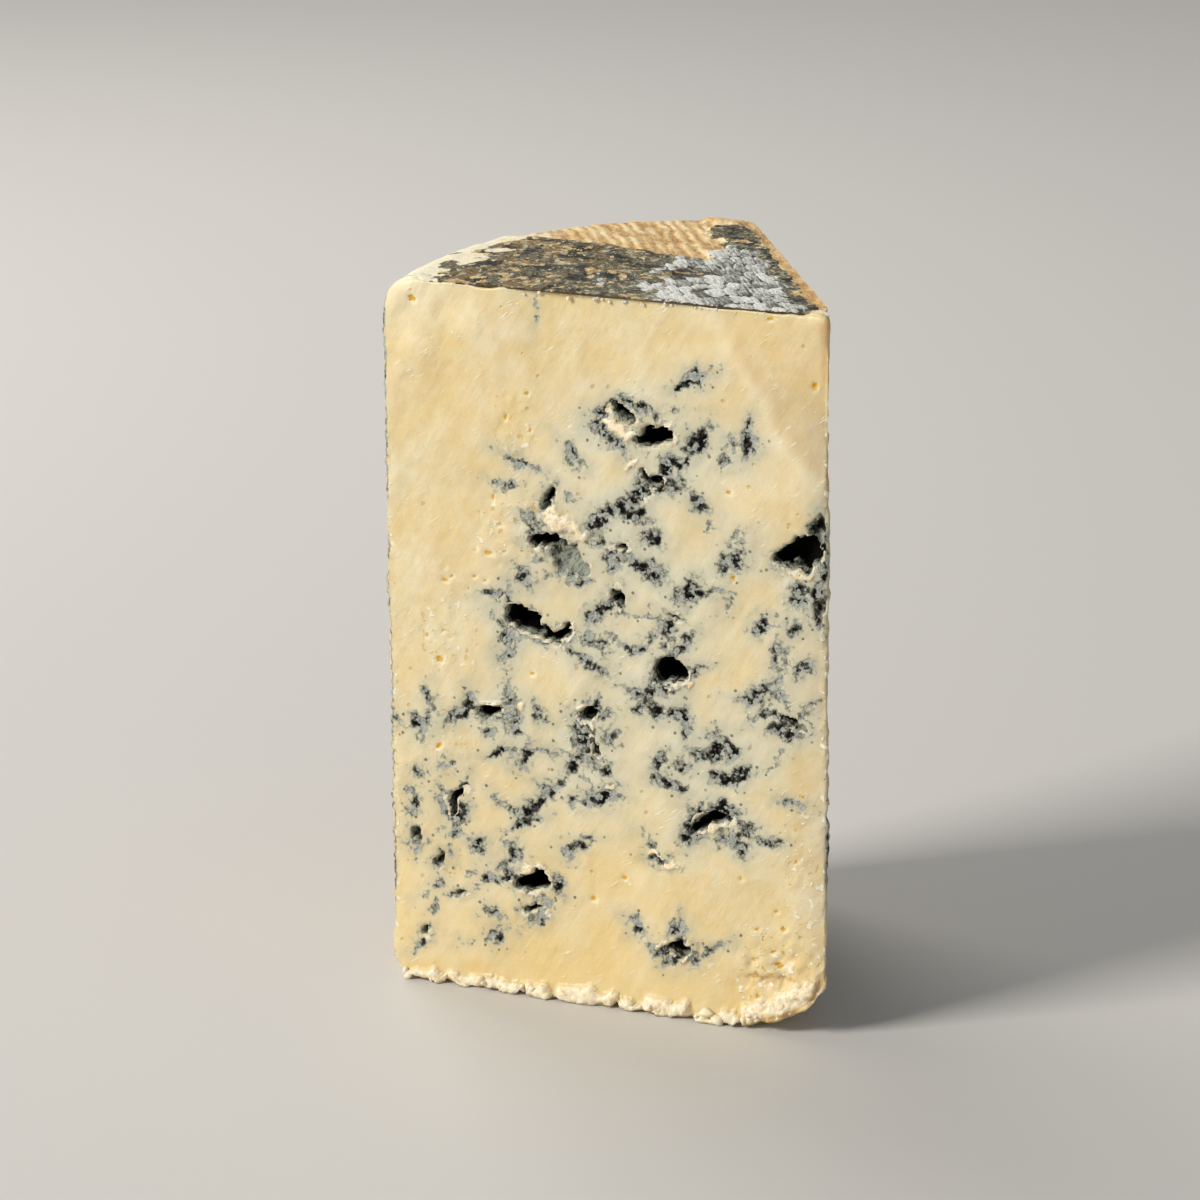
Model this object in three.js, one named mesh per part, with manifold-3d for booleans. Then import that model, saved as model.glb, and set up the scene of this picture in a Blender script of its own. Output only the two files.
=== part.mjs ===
// A wedge of blue cheese: one sector of a tall drum-shaped wheel, cut twice from its rim to its axis.
// Millimetres, +Z up. The first cut faces -Y, the tip of the wedge points to +X, and the rim is at
// the left and the back. The origin is the middle of the wedge's plan, on the surface it stands on.
import * as THREE from 'three';
import { mergeVertices } from 'three/addons/utils/BufferGeometryUtils.js';
import Module from 'manifold-3d';

// The wheel and the angle of the wedge
const WHEEL_RADIUS = 111;
const WHEEL_HEIGHT = 170.3;
const WEDGE_ANGLE = THREE.MathUtils.degToRad(57.8);

// Rounding of the wheel's two rims
const TOP_SHOULDER = 9;
const BASE_SHOULDER = 5;

// The top swells a little towards the middle of the rim
const CROWN_RISE = 2.6;
const CROWN_START = 0.35 * WHEEL_RADIUS;

// The tip: its upright edge is rounded, its top corner is worn, its foot has crumbled away in a curve
const TIP_ROUND = 1.2;
const TIP_TOP_REACH = 4;
const TIP_TOP_DROP = 2.5;
const TIP_FOOT_REACH = 30;
const TIP_FOOT_LIFT = 16;

// Crumbs of rind pressed into the foot of each cut, with the range of each crumb's size and tilt
const CRUMB_PITCH = 3.4;
const CRUMB_RADIUS = [1.4, 2.4];
const CRUMB_LENGTH = [0.9, 1.4];
const CRUMB_HEIGHT = [0.8, 1.1];
const CRUMB_TILT = [-0.5, 0.5];
const CRUMB_SEAT = 0.8;
const CRUMB_PROUD = 0.8;
const CRUMB_MARGIN = 6;

// Unevenness of a crumb or of the walls of a mould hollow, as a share of its radius
const LUMPINESS = 0.34;
const LARGE_HOLLOW = 3.3;

// How finely the round forms are divided
const TURN_SEGMENTS = 144;
const ARC_POINTS = 6;
const TOP_RINGS = 9;
const SIDE_RINGS = 5;

// A linear congruential generator draws the uneven sizes
const RANDOM_SEED = 20;
const RANDOM_FACTOR = 1664525;
const RANDOM_STEP = 1013904223;
const RANDOM_SPAN = 2 ** 32;

// Mould hollows on the first cut: along from the rim, up from the base, half width, half height,
// tilt in degrees, depth
const HOLLOWS = [
  [61.0, 142.9, 3.2, 1.5, -12, 6],
  [67.0, 138.7, 4.8, 2.2, 10, 7],
  [67.6, 128.9, 2.6, 1.0, -12, 4],
  [66.4, 126.0, 1.2, 1.0, 30, 4],
  [41.6, 121.6, 1.5, 3.2, -18, 3],
  [107.2, 120.6, 2.0, 3.8, -8, 2.6],
  [102.9, 114.6, 5.6, 3.4, 22, 6],
  [39.9, 112.0, 3.6, 1.7, 4, 7],
  [45.8, 107.6, 5.6, 3.2, -38, 3],
  [59.0, 111.2, 1.8, 0.9, 5, 4],
  [108.2, 102.0, 1.4, 3.6, 4, 1.9],
  [58.3, 99.6, 1.3, 2.8, -12, 5],
  [71.2, 97.2, 1.5, 0.6, -12, 3],
  [34.2, 92.4, 4.8, 2.4, -20, 7],
  [42.4, 89.0, 4.2, 1.7, -8, 5],
  [71.3, 83.7, 3.7, 2.9, 15, 7],
  [101.4, 75.2, 2.8, 0.9, -18, 4],
  [51.0, 70.3, 2.0, 2.2, 25, 4],
  [24.6, 68.4, 3.4, 1.3, 12, 5],
  [52.6, 63.4, 1.1, 1.7, 20, 4],
  [81.8, 49.4, 3.5, 1.5, 4, 6],
  [78.4, 47.4, 1.7, 2.0, 0, 5],
  [16.8, 46.4, 1.4, 3.4, -32, 5],
  [67.7, 38.4, 2.4, 1.0, -4, 2],
  [7.3, 35.9, 1.8, 1.4, -15, 3],
  [13.0, 30.6, 1.4, 0.9, 35, 3],
  [35.3, 28.3, 4.4, 2.2, 12, 7],
  [17.7, 22.8, 1.7, 0.8, 25, 3],
  [36.5, 21.4, 1.8, 0.9, -20, 4],
  [72.8, 17.0, 2.5, 2.0, -20, 4],
  [9.0, 11.8, 1.5, 1.0, 50, 3],
];

// The second cut has the same hollows turned half round about this height
const SECOND_CUT_TURN_HEIGHT = 79;

const wasm = await Module();
wasm.setup();

// A seeded random number from 0 to 1
let randomState = RANDOM_SEED;
function random() {
  randomState = (randomState * RANDOM_FACTOR + RANDOM_STEP) % RANDOM_SPAN;
  return randomState / RANDOM_SPAN;
}

function randomBetween([low, high]) {
  return low + (high - low) * random();
}

// A three.js geometry with only its positions, its shared vertices merged
function weld(geometry) {
  geometry.deleteAttribute('normal');
  geometry.deleteAttribute('uv');
  return mergeVertices(geometry);
}

function toSolid(geometry) {
  const vertProperties = new Float32Array(geometry.attributes.position.array);
  const triVerts = new Uint32Array(geometry.index.array);
  return new wasm.Manifold(new wasm.Mesh({ numProp: 3, vertProperties, triVerts }));
}

function toGeometry(solid) {
  const { vertProperties, triVerts } = solid.getMesh();
  const geometry = new THREE.BufferGeometry();
  geometry.setAttribute('position', new THREE.BufferAttribute(vertProperties, 3));
  geometry.setIndex(new THREE.BufferAttribute(triVerts, 1));
  geometry.computeVertexNormals();
  return geometry;
}

// A quarter of an ellipse in the wheel's half section, without its first point
function quarter(centreRadius, centreHeight, reach, rise, fromAngle) {
  const curve = new THREE.EllipseCurve(
    centreRadius, centreHeight, reach, rise, fromAngle, fromAngle + Math.PI / 2);
  return curve.getPoints(ARC_POINTS).slice(1);
}

// Evenly spaced points on a straight stretch of the half section, without its first point
function stretch(from, to, count) {
  return new THREE.LineCurve(from, to).getPoints(count).slice(1);
}

// Half section of the wheel, from the axis at the foot, out to the rim and back to the axis on top
function wheelProfile() {
  const baseRadius = WHEEL_RADIUS - BASE_SHOULDER;
  const shoulderRadius = WHEEL_RADIUS - TOP_SHOULDER;
  const shoulderFoot = WHEEL_HEIGHT - TOP_SHOULDER;
  const tipTop = WHEEL_HEIGHT - TIP_TOP_DROP;
  const start = new THREE.Vector2(0, TIP_FOOT_LIFT);
  const baseEdge = new THREE.Vector2(baseRadius, 0);
  const topEdge = new THREE.Vector2(shoulderRadius, WHEEL_HEIGHT);
  const topEnd = new THREE.Vector2(TIP_TOP_REACH, WHEEL_HEIGHT);
  const end = new THREE.Vector2(0, tipTop);
  const sideFoot = new THREE.Vector2(WHEEL_RADIUS, BASE_SHOULDER);
  const sideTop = new THREE.Vector2(WHEEL_RADIUS, shoulderFoot);
  return [
    start,
    ...quarter(TIP_FOOT_REACH, TIP_FOOT_LIFT, TIP_FOOT_REACH, TIP_FOOT_LIFT, Math.PI),
    baseEdge,
    ...quarter(baseRadius, BASE_SHOULDER, BASE_SHOULDER, BASE_SHOULDER, -Math.PI / 2),
    ...stretch(sideFoot, sideTop, SIDE_RINGS),
    ...quarter(shoulderRadius, shoulderFoot, TOP_SHOULDER, TOP_SHOULDER, 0),
    ...stretch(topEdge, topEnd, TOP_RINGS),
    ...quarter(TIP_TOP_REACH, tipTop, TIP_TOP_REACH, TIP_TOP_DROP, Math.PI / 2).slice(0, -1),
    end,
  ];
}

// The whole wheel, its top swollen where the wedge has the middle of its rim
function makeWheel() {
  const wheel = weld(new THREE.LatheGeometry(wheelProfile(), TURN_SEGMENTS).rotateX(Math.PI / 2));
  const position = wheel.attributes.position;
  for (let i = 0; i < position.count; i += 1) {
    const radius = Math.hypot(position.getX(i), position.getY(i));
    const turn = Math.atan2(position.getY(i), -position.getX(i)) / WEDGE_ANGLE;
    const acrossRim = Math.max(0, 1 - (2 * turn - 1) ** 2);
    const outwards = THREE.MathUtils.smoothstep(radius, CROWN_START, WHEEL_RADIUS - TOP_SHOULDER);
    const upwards = THREE.MathUtils.smoothstep(
      position.getZ(i), WHEEL_HEIGHT - 2 * TOP_SHOULDER, WHEEL_HEIGHT);
    position.setZ(i, position.getZ(i) + CROWN_RISE * acrossRim * outwards * upwards);
  }
  return toSolid(wheel);
}

// The two cuts as one upright prism: a sharp sector of the plan with its tip rounded
function makeCutPrism() {
  const beyond = 2 * WHEEL_RADIUS;
  const tipSetback = TIP_ROUND / Math.tan(WEDGE_ANGLE / 2);
  const plan = new THREE.Shape();
  plan.moveTo(-beyond, 0);
  plan.lineTo(-tipSetback, 0);
  plan.absarc(-tipSetback, TIP_ROUND, TIP_ROUND, -Math.PI / 2, Math.PI / 2 - WEDGE_ANGLE, false);
  plan.lineTo(-beyond * Math.cos(WEDGE_ANGLE), beyond * Math.sin(WEDGE_ANGLE));
  plan.closePath();
  const prism = new THREE.ExtrudeGeometry(plan, {
    depth: 2 * WHEEL_HEIGHT,
    bevelEnabled: false,
    curveSegments: ARC_POINTS,
  });
  return toSolid(weld(prism.translate(0, 0, -WHEEL_HEIGHT / 2)));
}

// A lump: a faceted ball of unit radius whose corners are drawn in and out
function makeLump(detail) {
  const lump = weld(new THREE.IcosahedronGeometry(1, detail));
  const position = lump.attributes.position;
  const corner = new THREE.Vector3();
  for (let i = 0; i < position.count; i += 1) {
    corner.fromBufferAttribute(position, i);
    corner.multiplyScalar(1 + LUMPINESS * (random() - 0.5));
    position.setXYZ(i, corner.x, corner.y, corner.z);
  }
  return lump;
}

// A lump set on a cut: X runs along the cut, Y into the cheese and Z up
function placeLump(lump, cut, along, up, inwards, halfSizes, tilt) {
  const place = new THREE.Matrix4()
    .multiply(cut)
    .multiply(new THREE.Matrix4().makeTranslation(along, inwards, up))
    .multiply(new THREE.Matrix4().makeRotationY(-tilt))
    .multiply(new THREE.Matrix4().makeScale(...halfSizes));
  return toSolid(lump.applyMatrix4(place));
}

// How far the crumbled foot of the tip is above the base, at a distance from the wheel's axis
function footLift(radius) {
  const share = Math.max(0, 1 - radius / TIP_FOOT_REACH);
  return TIP_FOOT_LIFT * (1 - Math.sqrt(1 - share * share));
}

function carveHollows(solid, cut, hollows) {
  let carved = solid;
  for (const [along, up, halfWidth, halfHeight, tilt, depth] of hollows) {
    const detail = Math.max(halfWidth, halfHeight) > LARGE_HOLLOW ? 2 : 1;
    const lump = makeLump(detail);
    const halfSizes = [halfWidth, depth, halfHeight];
    const turn = THREE.MathUtils.degToRad(tilt);
    carved = carved.subtract(placeLump(lump, cut, along, up, 0, halfSizes, turn));
  }
  return carved;
}

// Crumbs along the foot of a cut, by their distance along it. radiusAt gives the distance to the axis
function addCrumbs(solid, cut, radiusAt) {
  let covered = solid;
  for (let along = CRUMB_MARGIN; along < WHEEL_RADIUS - CRUMB_MARGIN; along += CRUMB_PITCH) {
    const radius = randomBetween(CRUMB_RADIUS);
    const halfLength = radius * randomBetween(CRUMB_LENGTH);
    const halfHeight = radius * randomBetween(CRUMB_HEIGHT);
    const halfSizes = [halfLength, radius, halfHeight];
    const up = footLift(radiusAt(along)) + CRUMB_SEAT * halfHeight;
    const inwards = radius - CRUMB_PROUD;
    const tilt = randomBetween(CRUMB_TILT);
    const lump = makeLump(0);
    covered = covered.add(placeLump(lump, cut, along, up, inwards, halfSizes, tilt));
  }
  return covered;
}

// The block above the base and behind the crumbs of the first cut
function makeStandingSpace() {
  const side = 4 * WHEEL_RADIUS;
  const space = new THREE.BoxGeometry(side, side, side);
  return toSolid(weld(space.translate(0, side / 2 - CRUMB_PROUD, side / 2)));
}

function makeWedge() {
  const firstCut = new THREE.Matrix4().makeTranslation(-WHEEL_RADIUS, 0, 0);
  const secondCut = new THREE.Matrix4().makeRotationZ(Math.PI - WEDGE_ANGLE);
  const turnedHollows = HOLLOWS.map(([along, up, ...rest]) => (
    [WHEEL_RADIUS - along, 2 * SECOND_CUT_TURN_HEIGHT - up, ...rest]));
  let wedge = makeWheel().intersect(makeCutPrism());
  wedge = carveHollows(wedge, firstCut, HOLLOWS);
  wedge = carveHollows(wedge, secondCut, turnedHollows);
  wedge = addCrumbs(wedge, firstCut, (along) => WHEEL_RADIUS - along);
  wedge = addCrumbs(wedge, secondCut, (along) => along);
  return toGeometry(wedge.intersect(makeStandingSpace()));
}

// Cream-yellow paste with a waxy, half matt surface
const pasteMaterial = new THREE.MeshStandardMaterial({
  color: new THREE.Color('#e6d3a3'),
  roughness: 0.5,
  metalness: 0,
  flatShading: true,
});

const cheeseWedge = new THREE.Mesh(makeWedge(), pasteMaterial);
cheeseWedge.name = 'cheese_wedge';
const tipTrim = TIP_ROUND * (1 / Math.tan(WEDGE_ANGLE / 2) - 1);
cheeseWedge.position.set(
  (WHEEL_RADIUS + tipTrim) / 2,
  (CRUMB_PROUD - WHEEL_RADIUS * Math.sin(WEDGE_ANGLE)) / 2,
  0,
);

const blueCheeseWedge = new THREE.Group();
blueCheeseWedge.add(cheeseWedge);

export default blueCheeseWedge;
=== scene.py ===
# %% [markdown]
# # A wedge of blue cheese
# The wedge is one sector of a tall drum-shaped wheel. Its looks come from two surfaces: the cream paste that
# the wire cut open, with hollows full of blue mould, and the dry rind that wraps the rim, the top and the
# base. This lesson makes each of them as one closed numpy surface, and paints it with nodes that read masks
# stored on the vertices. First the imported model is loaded: it is the frame that every piece is placed in.

# %% Load the frame
import math

import bpy
import numpy as np
from mathutils import Matrix, Vector


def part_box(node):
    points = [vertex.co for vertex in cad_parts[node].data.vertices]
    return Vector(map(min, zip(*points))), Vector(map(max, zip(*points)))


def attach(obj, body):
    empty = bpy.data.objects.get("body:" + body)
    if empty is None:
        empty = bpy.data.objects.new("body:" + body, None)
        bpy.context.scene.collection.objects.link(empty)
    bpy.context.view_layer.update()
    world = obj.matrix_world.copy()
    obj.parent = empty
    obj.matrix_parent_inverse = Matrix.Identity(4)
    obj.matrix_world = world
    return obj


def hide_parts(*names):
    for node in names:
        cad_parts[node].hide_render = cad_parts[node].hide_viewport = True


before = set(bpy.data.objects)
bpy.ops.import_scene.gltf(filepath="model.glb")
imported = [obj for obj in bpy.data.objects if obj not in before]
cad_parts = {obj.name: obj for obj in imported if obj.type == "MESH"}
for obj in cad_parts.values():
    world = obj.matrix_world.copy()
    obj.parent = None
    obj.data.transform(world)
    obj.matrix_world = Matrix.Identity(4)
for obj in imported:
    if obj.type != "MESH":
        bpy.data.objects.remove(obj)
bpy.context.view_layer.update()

# %% [markdown]
# ## Driving sizes
# All sizes are in millimetres and are the wheel's own: its radius, its height, the angle of the wedge and the
# rounding of its rims. The solid in the frame was made from the same sizes, so its box tells where the
# wheel's axis and the first cut stand.

# %% Driving sizes
MM = 0.001
NODE = "cheese_wedge"
WHEEL_RADIUS = 111.0
WHEEL_HEIGHT = 170.3
WEDGE_ANGLE = math.radians(57.8)
TOP_SHOULDER = 9.0
BASE_SHOULDER = 5.0
CROWN_RISE = 2.6
CROWN_START = 0.35 * WHEEL_RADIUS
TIP_ROUND = 1.2
TIP_TOP_REACH = 4.0
TIP_TOP_DROP = 2.5
TIP_FOOT_REACH = 30.0
TIP_FOOT_LIFT = 16.0
CRUMB_PROUD = 0.8
SECOND_CUT_TURN_HEIGHT = 79.0
SCRATCH_SLANT = math.radians(58)
WISP_SLANT = math.radians(36)

node_low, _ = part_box(NODE)
AXIS_X = node_low[0] / MM + WHEEL_RADIUS
FIRST_CUT_Y = node_low[1] / MM + CRUMB_PROUD
SECOND_CUT = np.array([-math.cos(WEDGE_ANGLE), math.sin(WEDGE_ANGLE)])
SECOND_CUT_OUT = np.array([math.sin(WEDGE_ANGLE), math.cos(WEDGE_ANGLE)])
print("wheel axis at x", round(AXIS_X, 2), "first cut at y", round(FIRST_CUT_Y, 2))

# %% [markdown]
# ## Camera, light and floor
# The camera stands where the photograph's stood: a long lens, a little above the wedge and to its right,
# tipped down by sixteen degrees. A big soft lamp from the upper left is the key, a weak one from the right
# fills the shadows, a third from behind keeps the top bright, and the floor is plain and pale. They come
# first, so that every later step can be looked at.

# %% Camera, light and floor
CAMERA_PLACE = Vector((0.4392, -1.0464, 0.4206))
CAMERA_YAW = math.radians(23.75)
CAMERA_PITCH = math.radians(16.41)
CAMERA_ROLL = math.radians(-0.44)
CAMERA_LENS = 150.0
CAMERA_SENSOR = 36.0
CAMERA_FAR = 20.0
LAMP_TARGET = Vector((0.0, 0.0, 0.09))
LAMPS = (
    ("key", Vector((-2.5, -3.0, 2.5)), 1.6, 206.0, (1.0, 0.97, 0.92)),
    ("fill", Vector((0.9, -0.6, 0.35)), 0.8, 1.0, (0.94, 0.97, 1.0)),
    ("back", Vector((-0.9, 0.6, 1.0)), 0.7, 8.0, (1.0, 0.97, 0.93)),
)
FLOOR_HALF = 1.5
FLOOR_COLOUR = (0.62, 0.60, 0.57, 1.0)
FLOOR_ROUGHNESS = 0.7
SKY_COLOUR = (0.90, 0.95, 1.0, 1.0)
SKY_STRENGTH = 0.22


def add_camera():
    """A camera turned by yaw about the upright, then tipped down by pitch, then rolled about its own axis."""
    camera = bpy.data.objects.new("camera", bpy.data.cameras.new("camera"))
    camera.data.lens = CAMERA_LENS
    camera.data.sensor_width = CAMERA_SENSOR
    camera.data.clip_end = CAMERA_FAR
    turn = Matrix.Rotation(CAMERA_YAW, 4, "Z")
    tip = Matrix.Rotation(math.pi / 2 - CAMERA_PITCH, 4, "X")
    roll = Matrix.Rotation(CAMERA_ROLL, 4, "Z")
    camera.matrix_world = Matrix.Translation(CAMERA_PLACE) @ turn @ tip @ roll
    bpy.context.collection.objects.link(camera)
    bpy.context.scene.camera = camera


def add_lamp(name, place, size, power, colour):
    """A square soft lamp at a place, facing the middle of the wedge."""
    lamp = bpy.data.objects.new(name, bpy.data.lights.new(name, "AREA"))
    lamp.data.size = size
    lamp.data.energy = power
    lamp.data.color = colour
    lamp.location = place
    lamp.rotation_euler = (LAMP_TARGET - place).to_track_quat("-Z", "Y").to_euler()
    bpy.context.collection.objects.link(lamp)


def add_floor():
    """A plain pale floor: one square, level with the base."""
    mesh = bpy.data.meshes.new("floor")
    corners = [(x * FLOOR_HALF, y * FLOOR_HALF, 0) for x, y in ((-1, -1), (1, -1), (1, 1), (-1, 1))]
    mesh.from_pydata(corners, [], [(0, 1, 2, 3)])
    floor = bpy.data.objects.new("floor", mesh)
    material = bpy.data.materials.new("floor_pale")
    material.use_nodes = True
    shader = material.node_tree.nodes["Principled BSDF"]
    shader.inputs["Base Color"].default_value = FLOOR_COLOUR
    shader.inputs["Roughness"].default_value = FLOOR_ROUGHNESS
    mesh.materials.append(material)
    bpy.context.collection.objects.link(floor)


def add_sky():
    """A weak even light from all round, and a view transform that leaves colours as they are."""
    world = bpy.data.worlds.new("studio")
    world.use_nodes = True
    background = world.node_tree.nodes["Background"]
    background.inputs["Color"].default_value = SKY_COLOUR
    background.inputs["Strength"].default_value = SKY_STRENGTH
    bpy.context.scene.world = world
    bpy.context.scene.view_settings.view_transform = "Standard"


add_camera()
add_floor()
for lamp in LAMPS:
    add_lamp(*lamp)
add_sky()
print("camera, floor and", len(LAMPS), "lamps are set")

# %% [markdown]
# ## Random heights
# Cheese is uneven at every scale, so most steps need smooth random heights. Blender has noise textures, but a
# mesh is made before any texture is read, so a small value noise is written here in numpy: a random number at
# each corner of a square lattice, blended inside each square. Layers of it at halved sizes make it crumbly.
# A second pattern makes rounded lumps with creases between them, and a ramp turns any length into a share.

# %% Random heights
TABLE_SIDE = 256


def value_noise(x, y, seed):
    """Heights from -0.5 to 0.5: a seeded random number at each lattice corner, blended by 3f^2 - 2f^3."""
    table = np.random.default_rng(seed).random((TABLE_SIDE, TABLE_SIDE)) - 0.5
    column = np.floor(x).astype(int)
    row = np.floor(y).astype(int)
    across = x - column
    upward = y - row
    across = across * across * (3 - 2 * across)
    upward = upward * upward * (3 - 2 * upward)
    left = column % TABLE_SIDE
    right = (column + 1) % TABLE_SIDE
    lower = row % TABLE_SIDE
    upper = (row + 1) % TABLE_SIDE
    below = table[left, lower] * (1 - across) + table[right, lower] * across
    above = table[left, upper] * (1 - across) + table[right, upper] * across
    return below * (1 - upward) + above * upward


def layered_noise(x, y, size, layers, seed):
    """Value noise of a lump size in millimetres, plus layers of half the size and half the height."""
    total = np.zeros(np.broadcast(x, y).shape)
    for layer in range(layers):
        scale = 2.0 ** layer / size
        total += value_noise(x * scale, y * scale, seed + layer) / 2.0 ** layer
    return total


def rounded_lumps(x, y, size, seed):
    """Lumps side by side: 1 - d^2 at a distance of d lumps from the nearest seed, with one seed at a random
    place in each square of a lattice. Creases run between them."""
    shifts = np.random.default_rng(seed).random((2, TABLE_SIDE, TABLE_SIDE))
    column = np.floor(x / size).astype(int)
    row = np.floor(y / size).astype(int)
    nearest = np.ones(np.broadcast(x, y).shape)
    for beside in (-1, 0, 1):
        for over in (-1, 0, 1):
            i = (column + beside) % TABLE_SIDE
            j = (row + over) % TABLE_SIDE
            right = column + beside + shifts[0, i, j] - x / size
            rise = row + over + shifts[1, i, j] - y / size
            nearest = np.minimum(nearest, right ** 2 + rise ** 2)
    return 1 - nearest


def ramp(low, high, x):
    """A smooth step from 0 at low to 1 at high; high may be the smaller."""
    share = np.clip((x - low) / (high - low), 0, 1)
    return share * share * (3 - 2 * share)


walk = np.arange(50)
print("noise spans", np.round(np.ptp(value_noise(walk * 0.37, walk * 0.21, 1)), 2))

# %% [markdown]
# ## Where the mould grows
# Blue mould grows in cracks that let in air, so the veins follow needle holes and gaps between the curds.
# Each vein patch is a tilted ellipse on the first cut, given by its distance from the rim, its height, its
# half length and half width, its tilt in degrees and how dark it is. Noise later frays their edges.

# %% Where the mould grows
VEINS_UPPER = [
    (78.2, 153.6, 1.6, 0.9, 25, 0.9), (76.0, 151.0, 2.2, 0.8, 12, 0.9), (73.4, 145.0, 0.4, 0.3, 0, 0.45),
    (55.5, 142.5, 3.5, 1.0, 35, 0.8), (52.8, 139.4, 1.4, 1.0, -30, 0.7), (56.4, 137.5, 3.0, 1.1, -25, 0.75),
    (60.0, 134.6, 1.6, 0.7, -20, 0.7), (63.5, 145.5, 2.5, 0.6, -10, 0.7), (67.8, 144.0, 2.4, 0.35, -20, 0.6),
    (71.5, 138.8, 1.5, 1.2, 0, 0.45), (78.0, 138.0, 2.6, 1.4, 30, 0.9), (80.0, 141.2, 0.7, 0.4, 20, 0.5),
    (90.0, 141.5, 2.2, 1.0, 75, 0.95), (91.0, 138.5, 1.6, 1.2, 60, 0.9), (87.2, 140.5, 1.2, 0.8, 20, 0.6),
    (92.6, 139.6, 0.8, 0.6, 0, 0.6), (84.7, 135.0, 1.3, 0.6, 60, 0.6), (47.5, 132.5, 2.2, 1.1, -35, 0.7),
    (34.0, 129.6, 2.6, 0.9, -22, 0.8), (36.6, 128.2, 1.4, 0.5, -20, 0.7), (30.0, 123.8, 1.6, 0.6, 0, 0.6),
    (72.5, 132.0, 3.0, 1.3, 30, 0.85), (70.5, 128.5, 2.4, 1.2, 20, 0.8), (73.2, 127.3, 1.4, 0.7, 20, 0.6),
    (78.0, 124.5, 2.0, 0.8, -30, 0.7), (64.5, 125.6, 2.4, 1.0, 45, 0.7), (61.5, 123.4, 3.5, 1.1, 40, 0.85),
    (63.0, 121.0, 2.2, 1.4, 20, 0.9), (58.5, 120.5, 3.6, 1.2, 30, 0.8), (54.5, 117.5, 2.4, 1.4, 40, 0.85),
    (65.5, 118.6, 1.2, 0.7, 0, 0.7), (48.0, 122.4, 1.4, 1.0, -40, 0.45), (37.0, 116.5, 1.6, 1.2, 60, 0.55),
    (88.5, 116.8, 2.2, 1.4, 30, 0.42), (81.0, 120.3, 0.7, 0.4, 20, 0.4), (37.9, 164.4, 0.15, 0.6, 0, 0.55),
    (77.6, 145.4, 0.7, 0.2, 8, 0.45), (109.6, 118.0, 1.2, 3.6, 0, 0.9), (109.8, 112.4, 1.2, 2.6, 0, 0.9),
]
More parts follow.
